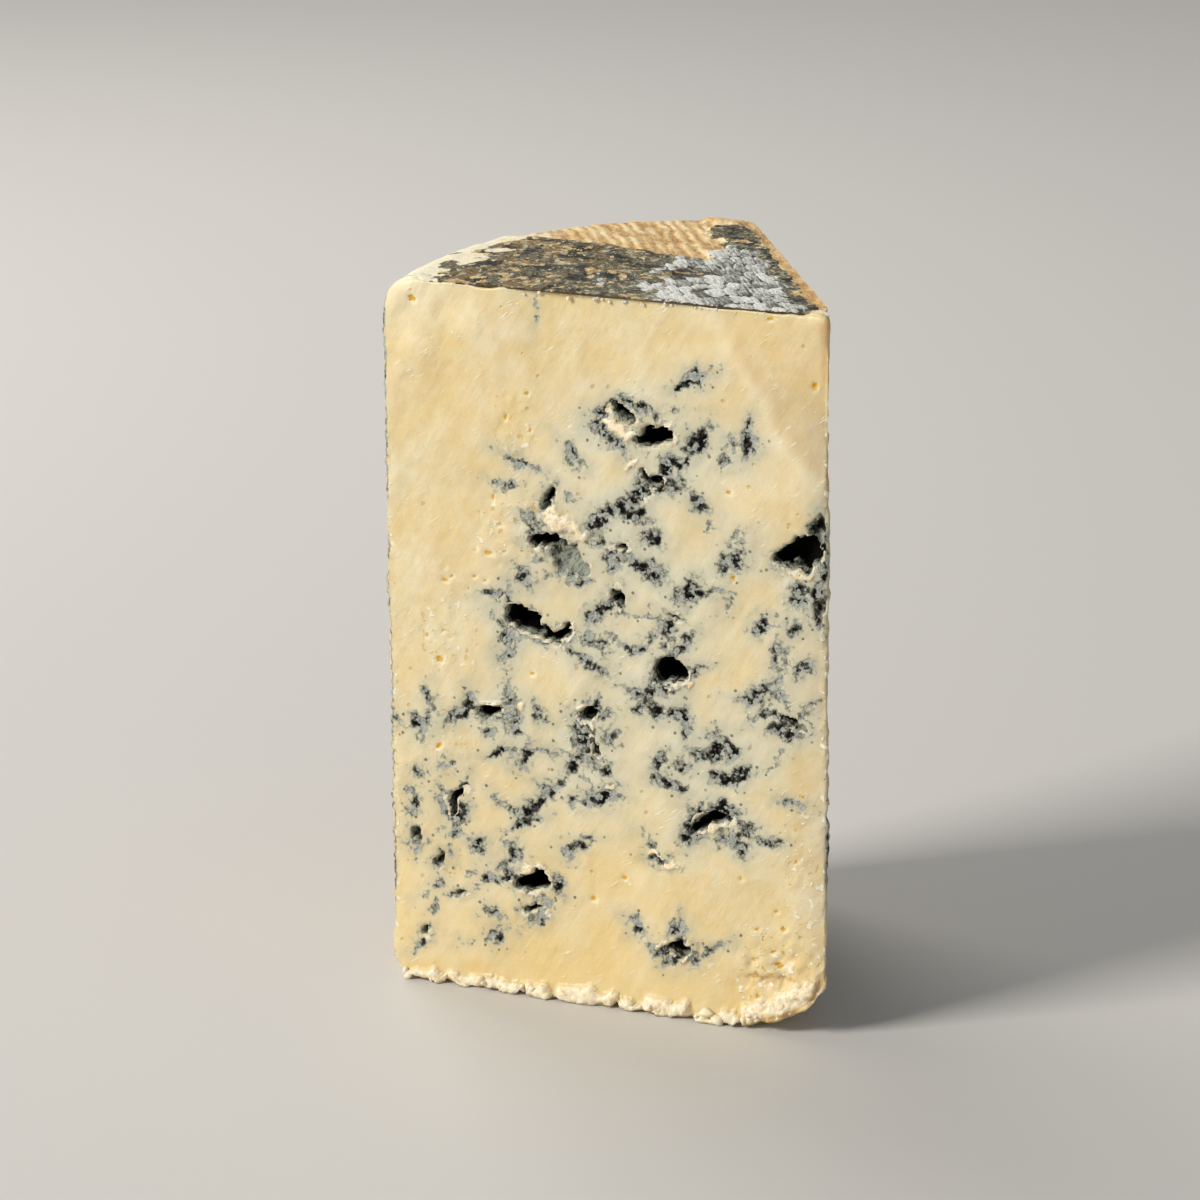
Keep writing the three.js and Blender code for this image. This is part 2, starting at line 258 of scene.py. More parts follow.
VEINS_MIDDLE = [
    (58.0, 108.6, 2.6, 1.4, 10, 0.6), (57.4, 106.0, 1.2, 0.9, 70, 0.5), (63.5, 108.6, 1.8, 0.8, -40, 0.8),
    (66.3, 107.0, 2.4, 1.0, -35, 0.9), (67.5, 105.6, 1.3, 0.6, -20, 0.8), (68.2, 108.2, 0.9, 0.9, 0, 0.6),
    (67.0, 114.8, 1.6, 1.0, -10, 0.9), (60.6, 110.2, 1.2, 0.8, -20, 0.8), (87.0, 111.6, 2.0, 1.2, 15, 0.75),
    (88.8, 112.8, 1.4, 0.5, 40, 0.6), (76.2, 103.7, 1.9, 1.1, 55, 0.95), (74.0, 102.6, 1.0, 0.9, 0, 0.6),
    (78.8, 104.0, 1.2, 0.6, -20, 0.7), (81.5, 104.6, 1.8, 0.35, 15, 0.6), (85.3, 102.0, 1.2, 0.8, 60, 0.5),
    (102.0, 111.2, 2.8, 0.8, 5, 0.5), (103.3, 106.9, 1.2, 1.0, 60, 0.8), (105.6, 107.2, 1.4, 0.9, 0, 0.5),
    (103.4, 103.6, 1.2, 0.9, -20, 0.85), (107.4, 107.4, 1.3, 1.1, 30, 0.9), (108.0, 100.0, 1.2, 1.2, 0, 0.7),
    (93.6, 97.0, 1.5, 0.9, 25, 0.85), (101.5, 97.2, 0.9, 0.8, 0, 0.75), (97.8, 91.0, 1.4, 0.6, 75, 0.6),
    (99.0, 88.8, 3.2, 1.4, 70, 0.38), (103.7, 87.6, 1.1, 0.7, 40, 0.75), (97.8, 83.8, 0.6, 0.5, 0, 0.6),
    (99.0, 81.2, 0.7, 0.5, 20, 0.6), (93.0, 80.6, 2.4, 0.7, 15, 0.85), (94.0, 78.6, 1.8, 0.9, 20, 0.85),
    (94.5, 75.4, 2.4, 0.4, 25, 0.7), (98.0, 76.0, 2.0, 0.4, -5, 0.75), (100.0, 73.2, 3.2, 1.3, 10, 0.75),
    (105.8, 79.3, 1.2, 0.5, 30, 0.6), (102.5, 78.0, 1.6, 0.3, -45, 0.5), (74.6, 84.2, 2.0, 0.6, 25, 0.55),
    (76.6, 84.2, 1.6, 0.4, 25, 0.8), (67.5, 80.5, 1.6, 0.9, 30, 0.8), (66.5, 79.2, 1.8, 1.0, 20, 0.9),
    (70.0, 79.3, 2.0, 1.0, 5, 0.7), (73.5, 89.0, 1.8, 0.7, 35, 0.85), (76.2, 90.6, 1.8, 0.6, 55, 0.85),
    (71.0, 91.8, 1.2, 0.6, 50, 0.6), (69.3, 94.6, 1.4, 0.9, -30, 0.8), (66.5, 92.0, 1.2, 0.8, 20, 0.5),
    (64.0, 95.9, 2.2, 0.5, 5, 0.45), (62.5, 88.1, 2.2, 0.9, 15, 0.75), (65.6, 88.8, 0.9, 0.5, 40, 0.6),
    (58.0, 88.0, 2.4, 0.5, -5, 0.45), (56.0, 89.6, 1.4, 1.0, 80, 0.5), (55.5, 97.2, 1.6, 0.8, 35, 0.8),
    (53.4, 95.5, 2.4, 1.0, 35, 0.9), (58.0, 96.8, 1.4, 1.0, -30, 0.6), (55.0, 81.4, 1.4, 1.2, 50, 0.6),
    (62.5, 77.4, 2.4, 0.6, -25, 0.75), (66.5, 76.3, 3.0, 1.0, -30, 0.7), (68.5, 74.0, 1.6, 1.2, -30, 0.7),
    (64.3, 74.3, 1.4, 1.1, 60, 0.6), (73.0, 73.3, 1.4, 1.2, 60, 0.9), (74.8, 71.2, 1.6, 1.0, -60, 0.9),
    (82.0, 70.4, 1.2, 0.6, 30, 0.6), (82.0, 66.5, 3.6, 1.1, 10, 0.8), (79.5, 64.9, 1.8, 0.7, 20, 0.85),
    (85.3, 66.4, 1.5, 1.2, -50, 0.85), (84.3, 68.6, 1.2, 0.6, -10, 0.6), (86.5, 61.1, 3.2, 1.1, 10, 0.85),
    (83.8, 60.8, 1.2, 0.9, 20, 0.9), (88.6, 61.6, 1.0, 0.8, 40, 0.8), (69.3, 62.4, 1.0, 0.9, 0, 0.7),
    (73.5, 61.4, 0.8, 0.5, 0, 0.7), (69.0, 58.5, 1.3, 1.1, 0, 0.95), (71.3, 57.2, 1.6, 0.8, -20, 0.8),
    (96.5, 64.5, 1.0, 0.4, 20, 0.5), (98.5, 67.3, 1.2, 0.4, 40, 0.5),
]
VEINS_LEFT = [
    (37.4, 114.0, 1.4, 1.1, 30, 0.6), (48.6, 102.6, 1.8, 1.0, 30, 0.5), (38.7, 107.2, 1.3, 0.5, 45, 0.5),
    (33.5, 103.0, 1.6, 1.0, -40, 0.6), (34.3, 101.5, 1.1, 0.8, 0, 0.85), (41.2, 103.1, 0.9, 0.5, 80, 0.5),
    (54.3, 113.0, 1.6, 0.8, 80, 0.5), (57.5, 108.0, 2.0, 1.4, 70, 0.5), (28.5, 97.2, 2.2, 0.7, 15, 0.75),
    (30.6, 97.3, 0.8, 0.6, 80, 0.6), (30.4, 91.2, 1.4, 0.6, -15, 0.6), (31.6, 89.2, 2.0, 1.0, -30, 0.5),
    (35.2, 88.9, 2.4, 0.9, -20, 0.5), (38.0, 87.6, 2.4, 0.8, -30, 0.6), (46.6, 88.3, 1.7, 1.2, 0, 0.7),
    (30.7, 86.5, 1.2, 1.0, 0, 0.7), (29.5, 82.8, 1.5, 1.0, 70, 0.75), (48.5, 84.0, 1.4, 0.4, -35, 0.6),
    (51.3, 82.9, 1.4, 0.7, -20, 0.8), (51.3, 89.6, 1.0, 0.6, 0, 0.6), (53.0, 87.2, 1.2, 0.8, 0, 0.6),
    (30.2, 75.0, 1.2, 0.7, 75, 0.6), (30.5, 72.2, 1.6, 1.2, 60, 0.55), (31.6, 71.4, 1.6, 1.0, 30, 0.5),
    (19.5, 69.0, 1.8, 0.9, 70, 0.75), (17.5, 66.8, 2.2, 0.8, 25, 0.8), (27.4, 68.8, 0.9, 0.6, 0, 0.95),
    (30.5, 67.5, 2.0, 1.8, 0, 0.6), (32.0, 65.5, 1.0, 0.8, 0, 0.7), (24.0, 66.2, 2.4, 0.6, -5, 0.45),
    (26.0, 63.8, 0.7, 0.5, -20, 0.7), (9.8, 70.4, 1.0, 0.5, 80, 0.5), (10.8, 68.3, 1.0, 0.8, -50, 0.55),
    (8.3, 64.6, 1.6, 0.8, -20, 0.8), (9.0, 63.0, 1.2, 0.8, 30, 0.6), (1.6, 63.4, 0.5, 0.4, 0, 0.6),
    (8.6, 60.7, 1.4, 0.8, 20, 0.35), (36.5, 62.3, 0.8, 0.6, 0, 0.6), (38.9, 70.2, 1.0, 0.5, -30, 0.75),
    (27.8, 58.2, 1.6, 0.5, 10, 0.8), (29.5, 59.2, 1.0, 0.8, 40, 0.8), (34.3, 58.3, 1.4, 0.8, 70, 0.85),
    (36.5, 59.5, 1.6, 0.5, 30, 0.8), (38.5, 60.6, 1.4, 0.4, 10, 0.7), (32.0, 59.5, 2.0, 0.4, 0, 0.5),
    (53.5, 72.6, 1.2, 0.9, -40, 0.9), (49.0, 70.6, 0.8, 0.7, 0, 0.8), (50.5, 67.4, 2.0, 1.4, 20, 0.7),
    (50.0, 64.2, 2.4, 1.6, -10, 0.75), (49.0, 61.5, 2.0, 1.2, 0, 0.6), (50.5, 60.4, 1.4, 0.8, 10, 0.8),
    (56.5, 66.5, 1.0, 0.7, 0, 0.7), (55.5, 70.4, 1.4, 0.8, 20, 0.6), (46.8, 58.2, 0.8, 0.6, 0, 0.8),
    (54.5, 58.0, 1.6, 1.0, 10, 0.75), (46.0, 56.3, 1.0, 0.7, -20, 0.7),
]
VEINS_LOWER = [
    (7.5, 52.2, 1.2, 0.7, 20, 0.6), (13.7, 53.2, 0.8, 0.8, 0, 0.6), (16.0, 55.0, 0.6, 0.4, 0, 0.5),
    (5.8, 46.3, 1.0, 0.9, 0, 0.5), (6.0, 43.3, 1.6, 0.6, 70, 0.65), (7.0, 41.2, 0.8, 0.5, 0, 0.4),
    (18.1, 49.4, 1.3, 0.5, 60, 0.8), (14.3, 43.3, 1.2, 1.0, -40, 0.8), (17.5, 43.4, 1.4, 0.9, 70, 0.8),
    (18.4, 44.1, 0.9, 0.7, 0, 0.9), (16.5, 40.6, 1.6, 0.9, 75, 0.5), (13.5, 47.2, 1.0, 0.7, 0, 0.4),
    (17.0, 37.8, 1.4, 1.2, -20, 0.48), (21.9, 36.2, 1.0, 0.8, -10, 0.95), (23.0, 34.3, 0.7, 0.5, 0, 0.6),
    (6.3, 33.3, 1.2, 1.0, 0, 0.5), (6.0, 31.7, 0.6, 0.5, 0, 0.6), (28.0, 48.3, 1.4, 0.5, -20, 0.4),
    (40.0, 50.6, 2.2, 1.0, 35, 0.85), (37.6, 49.2, 1.6, 0.8, 40, 0.85), (39.3, 52.5, 0.8, 0.4, -20, 0.9),
    (32.0, 45.6, 1.6, 0.4, -30, 0.8), (34.2, 43.3, 1.6, 0.6, 35, 0.9), (36.3, 43.9, 1.4, 0.6, 10, 0.8),
    (35.6, 46.6, 1.6, 0.7, 40, 0.8), (30.8, 40.4, 0.8, 0.3, 30, 0.6), (43.8, 53.4, 1.6, 0.8, 40, 0.5),
    (54.8, 51.6, 1.4, 0.9, 30, 0.9), (52.0, 50.2, 2.2, 0.8, 15, 0.75), (48.2, 49.0, 1.4, 0.7, 0, 0.6),
    (51.0, 52.8, 2.0, 0.3, -30, 0.5), (57.2, 51.3, 1.0, 0.4, 0, 0.7), (57.5, 54.0, 0.6, 0.4, 0, 0.6),
    (48.5, 38.8, 1.8, 0.6, 25, 0.7), (46.0, 37.2, 1.0, 0.7, 80, 0.6), (12.0, 24.3, 0.8, 0.6, 60, 0.7),
    (21.0, 29.8, 0.9, 0.8, 0, 0.45), (31.0, 35.3, 1.0, 0.8, 0, 0.65), (31.8, 34.0, 1.2, 0.8, -20, 0.6),
    (29.2, 32.8, 1.2, 0.6, 30, 0.7), (27.5, 27.8, 3.2, 0.9, 15, 0.6), (31.0, 29.8, 1.2, 0.6, -20, 0.8),
    (42.6, 28.0, 1.2, 0.8, -30, 0.85), (38.5, 24.5, 2.0, 1.2, -20, 0.42), (37.0, 19.3, 1.2, 0.7, 0, 0.6),
    (24.2, 18.8, 1.2, 0.9, -20, 0.4), (27.5, 18.6, 1.6, 0.7, -35, 0.7), (26.3, 13.6, 1.3, 1.1, 60, 0.65),
    (18.6, 11.5, 0.9, 0.6, 0, 0.4), (8.3, 21.4, 1.0, 0.5, 30, 0.35), (11.0, 18.5, 1.0, 0.7, 70, 0.4),
    (7.2, 9.0, 1.6, 0.6, 40, 0.6), (77.8, 51.0, 1.6, 0.6, -10, 0.7), (82.0, 51.2, 2.4, 0.7, 10, 0.8),
    (85.0, 51.7, 1.8, 0.9, -30, 0.85), (86.5, 50.3, 1.4, 0.5, -30, 0.6), (77.2, 44.7, 1.6, 1.2, 20, 0.9),
    (90.3, 47.6, 1.4, 0.8, 10, 0.75), (87.5, 46.7, 1.8, 1.2, 0, 0.5), (88.0, 44.3, 1.6, 0.6, -20, 0.75),
    (90.0, 43.6, 1.0, 0.8, 70, 0.85), (84.0, 44.2, 1.6, 0.8, 30, 0.6), (76.4, 48.5, 2.0, 0.9, 80, 0.6),
    (95.3, 46.0, 1.8, 0.7, 5, 0.8), (101.3, 55.6, 1.4, 0.6, -10, 0.85), (66.5, 40.8, 1.6, 0.9, -30, 0.5),
    (63.8, 44.0, 1.0, 0.7, 0, 0.35), (71.0, 13.5, 1.6, 1.2, 20, 0.6), (73.2, 22.2, 1.2, 0.7, 70, 0.75),
    (62.5, 20.6, 1.2, 0.5, -35, 0.8), (60.5, 22.0, 0.9, 0.4, -30, 0.6), (62.6, 19.2, 0.7, 0.6, 0, 0.7),
    (68.3, 17.0, 0.8, 0.5, 0, 0.7), (69.5, 15.6, 1.6, 0.6, -40, 0.65), (77.5, 15.0, 1.2, 1.0, 0, 0.65),
    (77.0, 17.5, 1.0, 0.5, 0, 0.5), (83.0, 17.6, 1.2, 0.5, 40, 0.75), (81.0, 16.0, 1.2, 0.4, 35, 0.5),
]
VEINS = VEINS_UPPER + VEINS_MIDDLE + VEINS_LEFT + VEINS_LOWER
print(len(VEINS), "vein patches")

# %% [markdown]
# ## Where the paste is hollow
# The larger mould pockets are real hollows, and the solid has them too: these are its sizes, with the depth
# in millimetres last. A heavy boolean could cut them here as well. But seen from the front a hollow is only a
# depth at each point of the cut, so it is kept as one more height on the grid, which is lighter and smoother.
# The pinholes are small gas holes: a place and two half sizes each.

# %% Where the paste is hollow
HOLLOWS = [
    (61.0, 142.9, 3.2, 1.5, -12, 6.0), (67.0, 138.7, 4.8, 2.2, 10, 7.0), (67.6, 128.9, 2.6, 1.0, -12, 4.0),
    (66.4, 126.0, 1.2, 1.0, 30, 4.0), (41.6, 121.6, 1.5, 3.2, -18, 3.0), (107.2, 120.6, 2.0, 3.8, -8, 2.6),
    (102.9, 114.6, 5.6, 3.4, 22, 6.0), (39.9, 112.0, 3.6, 1.7, 4, 7.0), (45.8, 107.6, 5.6, 3.2, -38, 2.2),
    (59.0, 111.2, 1.8, 0.9, 5, 4.0), (108.2, 102.0, 1.4, 3.6, 4, 1.9), (58.3, 99.6, 1.3, 2.8, -12, 5.0),
    (71.2, 97.2, 1.5, 0.6, -12, 3.0), (34.2, 92.4, 4.8, 2.4, -20, 7.0), (42.4, 89.0, 4.2, 1.7, -8, 5.0),
    (71.3, 83.7, 3.7, 2.9, 15, 7.0), (101.4, 75.2, 2.8, 0.9, -18, 4.0), (51.0, 70.3, 2.0, 2.2, 25, 4.0),
    (24.6, 68.4, 3.4, 1.3, 12, 5.0), (52.6, 63.4, 1.1, 1.7, 20, 4.0), (81.8, 49.4, 3.5, 1.5, 4, 6.0),
    (78.4, 47.4, 1.7, 2.0, 0, 5.0), (16.8, 46.4, 1.4, 3.4, -32, 5.0), (67.7, 38.4, 2.4, 1.0, -4, 1.2),
    (7.3, 35.9, 1.8, 1.4, -15, 2.2), (13.0, 30.6, 1.4, 0.9, 35, 2.6), (35.3, 28.3, 4.4, 2.2, 12, 7.0),
    (17.7, 22.8, 1.7, 0.8, 25, 3.0), (36.5, 21.4, 1.8, 0.9, -20, 4.0), (72.8, 17.0, 2.5, 2.0, -20, 3.0),
    (9.0, 11.8, 1.5, 1.0, 50, 3.0),
]
PINHOLES = [
    (13.0, 79.5, 1.3, 0.7), (14.8, 99.0, 1.2, 0.5), (14.6, 102.2, 0.8, 0.4), (26.0, 106.5, 1.2, 0.6),
    (36.2, 146.0, 0.8, 0.9), (85.6, 127.5, 1.2, 0.6), (106.0, 153.5, 0.8, 0.8), (87.0, 107.5, 0.8, 0.9),
    (98.0, 16.2, 1.2, 0.6), (99.0, 25.2, 1.0, 0.5), (88.8, 35.8, 0.7, 0.6), (59.3, 32.0, 0.8, 0.6),
    (51.2, 25.8, 0.7, 0.8), (96.0, 168.0, 0.9, 0.5), (12.5, 58.6, 0.9, 0.6), (37.0, 79.2, 0.8, 0.5),
    (93.0, 7.6, 0.8, 0.6), (7.8, 165.2, 0.9, 0.9), (28.6, 113.8, 1.0, 0.4), (97.0, 29.0, 0.6, 0.5),
    (22.4, 107.4, 0.9, 0.4), (29.9, 107.7, 0.5, 0.4), (14.0, 86.9, 0.6, 0.4), (10.4, 85.5, 0.6, 0.4),
    (16.1, 85.5, 0.6, 0.4), (20.6, 97.9, 0.5, 0.4), (27.5, 120.3, 0.4, 1.0), (22.7, 101.2, 0.6, 0.4),
    (25.4, 100.4, 0.5, 0.4), (23.9, 116.4, 0.5, 0.4), (16.7, 100.4, 0.5, 0.4), (92.6, 24.4, 0.8, 0.5),
    (96.6, 19.2, 0.7, 0.5), (102.3, 42.0, 0.6, 0.5), (31.0, 140.0, 0.4, 0.8), (36.8, 137.0, 0.4, 0.6),
]
print(len(HOLLOWS), "hollows and", len(PINHOLES), "pinholes")

# %% [markdown]
# ## Fields on a cut
# A field is one number for every point of the cut: how dark the mould is, how far its stain reaches, how
# deep the hollow is. Each ellipse gives a rough distance in millimetres to its edge. The points are first
# pushed about by noise, which frays the ellipses into crumbs, and then the strongest patch wins. Only the
# fade, a paler curd near the mould, adds up from vein to vein.

# %% Fields on a cut
FRAY_SIZE = 4.2
FRAY_LARGE = 2.6
FRAY_SMALL = 1.3
VEIN_SWELL = 0.6
VEIN_EDGE = 1.5
STAIN_REACH = 2.6
FADE_REACH = 4.6
FADE_GROWTH = 0.48
WIDE_HOLLOW = 4.0
SHALLOW_HOLLOW = 3.0
PINHOLE_SIZE = 0.8
PINHOLE_FRAY = 0.35


def edge_distance(along, up, patch):
    """Signed distance to an ellipse's edge, near enough: (length of the point in the ellipse's own units - 1)
    times the geometric mean of its half sizes. Negative inside."""
    centre_along, centre_up, half_length, half_width, tilt = patch
    cosine = math.cos(math.radians(tilt))
    sine = math.sin(math.radians(tilt))
    right = along - centre_along
    rise = up - centre_up
    lengthwise = (right * cosine + rise * sine) / half_length
    crosswise = (rise * cosine - right * sine) / half_width
    return (np.sqrt(lengthwise ** 2 + crosswise ** 2) - 1) * math.sqrt(half_length * half_width)


def frayed(along, up):
    """The points pushed about by noise of two sizes, so that smooth outlines read as ragged ones."""
    large_along = layered_noise(along, up, FRAY_SIZE, 2, 11)
    large_up = layered_noise(along, up, FRAY_SIZE, 2, 31)
    push_along = FRAY_LARGE * large_along + FRAY_SMALL * value_noise(along, up, 17)
    push_up = FRAY_LARGE * large_up + FRAY_SMALL * value_noise(along, up, 37)
    return along + push_along, up + push_up


def lay(fields, name, values):
    """Lay values over a field: the larger of the two stays."""
    fields[name] = np.maximum(fields[name], values)


def lay_veins(fields, along, up):
    """Each vein is solid inside its ellipse. Its stain and its fade fall off outside as bell curves."""
    total = np.zeros_like(along)
    for *patch, strength in VEINS:
        distance = edge_distance(along, up, patch) - VEIN_SWELL
        beyond = np.maximum(distance, 0)
        size = math.sqrt(patch[2] * patch[3])
        lay(fields, "vein", strength * np.clip(0.5 - distance / VEIN_EDGE, 0, 1))
        lay(fields, "stain", strength * np.exp(-(beyond / STAIN_REACH) ** 2))
        total += FADE_GROWTH * strength * size * np.exp(-(beyond / FADE_REACH) ** 2)
    fields["fade"] = 1 - np.exp(-total)


def lay_hollows(fields, along, up):
    """Each hollow is a depth inside its ellipse. Mould, stain and a pale lip, partly painted highlight, go
    round it; frost inside lies on the lower wall, which the light falls on, and lightens it as painted light.
    """
    for *patch, deepest in HOLLOWS:
        centre_along, centre_up, half_length, half_width, _ = patch
        distance = edge_distance(along, up, patch)
        beyond = np.maximum(distance, 0)
        inside = ramp(0.3, -0.9, distance)
        low_side = (centre_up - up + 0.4 * (along - centre_along)) / math.sqrt(half_length * half_width)
        lit_frost_span = (-0.2, 0.9)
        if half_length > WIDE_HOLLOW and deepest < SHALLOW_HOLLOW:
            lit_frost_span = (-1.0, 0.6)
        lay(fields, "hollow", deepest * inside)
        lay(fields, "vein", 0.8 * np.clip(0.4 - distance / VEIN_EDGE, 0, 1))
        # The pale lip is partly a painted highlight.
        lay(fields, "highlit_lip", min(deepest / 4, 1) * np.exp(-((distance - 0.4) / 0.6) ** 2))
        lay(fields, "stain", 0.9 * np.exp(-(beyond / STAIN_REACH) ** 2))
        # Frost on the lower wall, the side the light falls on: partly painted light.
        lay(fields, "lit_frost", inside * ramp(*lit_frost_span, low_side))
    fields["highlit_lip"] *= 1 - ramp(0.1, 0.6, fields["hollow"])


def lay_pinholes(fields, along, up, ragged_along, ragged_up):
    """Each pinhole is a small ellipse, only a little frayed, with a painted highlight on its rim's lower
    right.
    """
    near_along = (1 - PINHOLE_FRAY) * along + PINHOLE_FRAY * ragged_along
    near_up = (1 - PINHOLE_FRAY) * up + PINHOLE_FRAY * ragged_up
    for centre_along, centre_up, half_width, half_height in PINHOLES:
        patch = (centre_along, centre_up, PINHOLE_SIZE * half_width, PINHOLE_SIZE * half_height, 0)
        distance = edge_distance(near_along, near_up, patch)
        below = ramp(-0.3, 1.2, (centre_up - up + 0.6 * (along - centre_along)) / half_height)
        lay(fields, "pinhole", ramp(0.2, -0.25, distance))
        # Painted highlight on the lower right of the rim, the side the light falls on.
        lay(fields, "rim", below * np.exp(-((distance - 0.4) / 0.3) ** 2))


def cut_fields(along, up):
    """All fields of a cut at its points: the hollow's depth in millimetres, and the others from 0 to 1."""
    names = ("vein", "stain", "fade", "hollow", "highlit_lip", "lit_frost", "pinhole", "rim")
    fields = {name: np.zeros_like(along) for name in names}
    ragged_along, ragged_up = frayed(along, up)
    lay_veins(fields, ragged_along, ragged_up)
    lay_hollows(fields, ragged_along, ragged_up)
    lay_pinholes(fields, along, up, ragged_along, ragged_up)
    return fields


sample = cut_fields(*np.meshgrid(np.linspace(0, WHEEL_RADIUS, 60), np.linspace(0, WHEEL_HEIGHT, 90)))
print("share of the cut under mould", np.round(np.mean(sample["vein"] > 0.5), 3))

# %% [markdown]
# ## Node helpers
# The materials are node trees made in code. A few short helpers keep them readable: one links or sets a
# socket, and the others add a node and give back its output, so that a tree reads like a sum.

# %% Node helpers
SCATTER_BY_COLOUR = (1.0, 0.62, 0.28)


def paint(text):
    """A colour written as six hexadecimal digits of sRGB, as the linear numbers that a socket takes."""
    values = np.array([int(text[i:i + 2], 16) for i in (0, 2, 4)]) / 255
    linear = np.where(values <= 0.04045, values / 12.92, ((values + 0.055) / 1.055) ** 2.4)
    return (*linear.tolist(), 1.0)


def wire(tree, socket, value):
    """Link an output to a socket, or set the socket to a constant; a text is a colour."""
    if isinstance(value, bpy.types.NodeSocket):
        tree.links.new(value, socket)
    else:
        socket.default_value = paint(value) if isinstance(value, str) else value


def math_of(tree, operation, *values):
    """One Math node."""
    node = tree.nodes.new("ShaderNodeMath")
    node.operation = operation
    for socket, value in zip(node.inputs, values):
        wire(tree, socket, value)
    return node.outputs[0]


def product_of(tree, first, second):
    """Two values multiplied."""
    return math_of(tree, "MULTIPLY", first, second)


def weighted_of(tree, *terms):
    """A sum of values, each times its weight, as a row of Math nodes."""
    total = 0.0
    for value, weight in terms:
        total = math_of(tree, "MULTIPLY_ADD", value, weight, total)
    return total


def step_of(tree, value, low, high):
    """A smooth step from 0 at low to 1 at high."""
    node = tree.nodes.new("ShaderNodeMapRange")
    node.interpolation_type = "SMOOTHSTEP"
    wire(tree, node.inputs["Value"], value)
    wire(tree, node.inputs["From Min"], low)
    wire(tree, node.inputs["From Max"], high)
    return node.outputs["Result"]


def blend_of(tree, share, first, second):
    """Two colours mixed by a share from 0 to 1."""
    node = tree.nodes.new("ShaderNodeMix")
    node.data_type = "RGBA"
    wire(tree, node.inputs[0], share)
    wire(tree, node.inputs[6], first)
    wire(tree, node.inputs[7], second)
    return node.outputs[2]


def tinted_of(tree, colour, mask, share, shade):
    """A colour drawn towards a shade by a share of a mask."""
    return blend_of(tree, product_of(tree, mask, share), colour, shade)


def place_of(tree):
    """The point in the object's own coordinates, in metres."""
    return tree.nodes.new("ShaderNodeTexCoord").outputs["Object"]


def noise_at(tree, place, scale, detail, roughness):
    """One Noise node read at a place."""
    node = tree.nodes.new("ShaderNodeTexNoise")
    wire(tree, node.inputs["Scale"], scale)
    wire(tree, node.inputs["Detail"], detail)
    wire(tree, node.inputs["Roughness"], roughness)
    tree.links.new(place, node.inputs["Vector"])
    return node.outputs["Fac"]


def noise_of(tree, per_metre, detail, roughness):
    """Noise in the object's own coordinates; per_metre is how many lumps fit in a metre."""
    return noise_at(tree, place_of(tree), per_metre, detail, roughness)


def patches_of(tree, per_metre, detail, roughness, low, high):
    """A smooth step of noise from low to high, which leaves soft patches."""
    return step_of(tree, noise_of(tree, per_metre, detail, roughness), low, high)


def streaks_of(tree, turn, sizes, detail):
    """Noise drawn out along one way: the object's coordinates are turned, then divided by three lump sizes in
    millimetres."""
    mapping = tree.nodes.new("ShaderNodeMapping")
    mapping.vector_type = "TEXTURE"
    mapping.inputs["Rotation"].default_value = turn
    mapping.inputs["Scale"].default_value = [size * MM for size in sizes]
    tree.links.new(place_of(tree), mapping.inputs["Vector"])
    return noise_at(tree, mapping.outputs["Vector"], 1.0, detail, 0.6)


def seeds_of(tree, per_metre, low, high):
    """A smooth step of the distance to seeds scattered through space, in shares of their mean spacing."""
    node = tree.nodes.new("ShaderNodeTexVoronoi")
    wire(tree, node.inputs["Scale"], per_metre)
    tree.links.new(place_of(tree), node.inputs["Vector"])
    return step_of(tree, node.outputs["Distance"], low, high)


def field_of(tree, name):
    """A number stored on the vertices."""
    node = tree.nodes.new("ShaderNodeAttribute")
    node.attribute_name = name
    return node.outputs["Fac"]


def group_of(tree, group, **sockets):
    """A node group used in a tree, with its inputs linked or set by name."""
    node = tree.nodes.new("ShaderNodeGroup")
    node.node_tree = group
    for name, value in sockets.items():
        wire(tree, node.inputs[name], value)
    return node.outputs[0]


def new_material(name):
    """A new material with its node tree and its Principled shader."""
    material = bpy.data.materials.new(name)
    material.use_nodes = True
    return material, material.node_tree, material.node_tree.nodes["Principled BSDF"]


def add_scattering(tree, shader, weight, scale):
    """Light that enters the surface and comes out nearby: red reaches furthest and blue least."""
    wire(tree, shader.inputs["Subsurface Weight"], weight)
    wire(tree, shader.inputs["Subsurface Radius"], SCATTER_BY_COLOUR)
    wire(tree, shader.inputs["Subsurface Scale"], scale)


def add_bump(tree, shader, height, strength, distance):
    """Fine relief from a height: the shader's normal is bent by a Bump node."""
    node = tree.nodes.new("ShaderNodeBump")
    wire(tree, node.inputs["Height"], height)
    wire(tree, node.inputs["Strength"], strength)
    wire(tree, node.inputs["Distance"], distance)
    tree.links.new(node.outputs["Normal"], shader.inputs["Normal"])


print("white is", paint("ffffff"), "and a mid grey is", [round(v, 3) for v in paint("808080")])

# %% [markdown]
# ## Two shared effects
# Paste and rind share two effects, so each is made once as a node group. The first is the cream of the paste
# itself, which also shows where the rind is bare: a warm ivory that drifts a little between yellow and pale.
# The second turns any smooth field into a ragged mask: fine noise is added to the field, then a step cuts it.
# A patch made so is solid in its middle and broken into specks at its edge.

# %% Two shared effects


def make_cream():
    """The colour of the paste, drifting over about 30 mm and 10 mm and mottled over about 4 mm."""
    group = bpy.data.node_groups.new("cream", "ShaderNodeTree")
    group.interface.new_socket("Color", in_out="OUTPUT", socket_type="NodeSocketColor")
    result = group.nodes.new("NodeGroupOutput")
    drift = weighted_of(group, (noise_of(group, 30.0, 2.0, 0.5), 0.5), (noise_of(group, 90.0, 2.0, 0.5), 0.5))
    drift = step_of(group, drift, 0.38, 0.63)
    mottle = patches_of(group, 260.0, 3.0, 0.6, 0.30, 0.75)
    warm = blend_of(group, drift, "dfc68f", "e1cfa2")
    pale = blend_of(group, drift, "e2cfa0", "e5d9b6")
    group.links.new(blend_of(group, mottle, warm, pale), result.inputs[0])
    return group


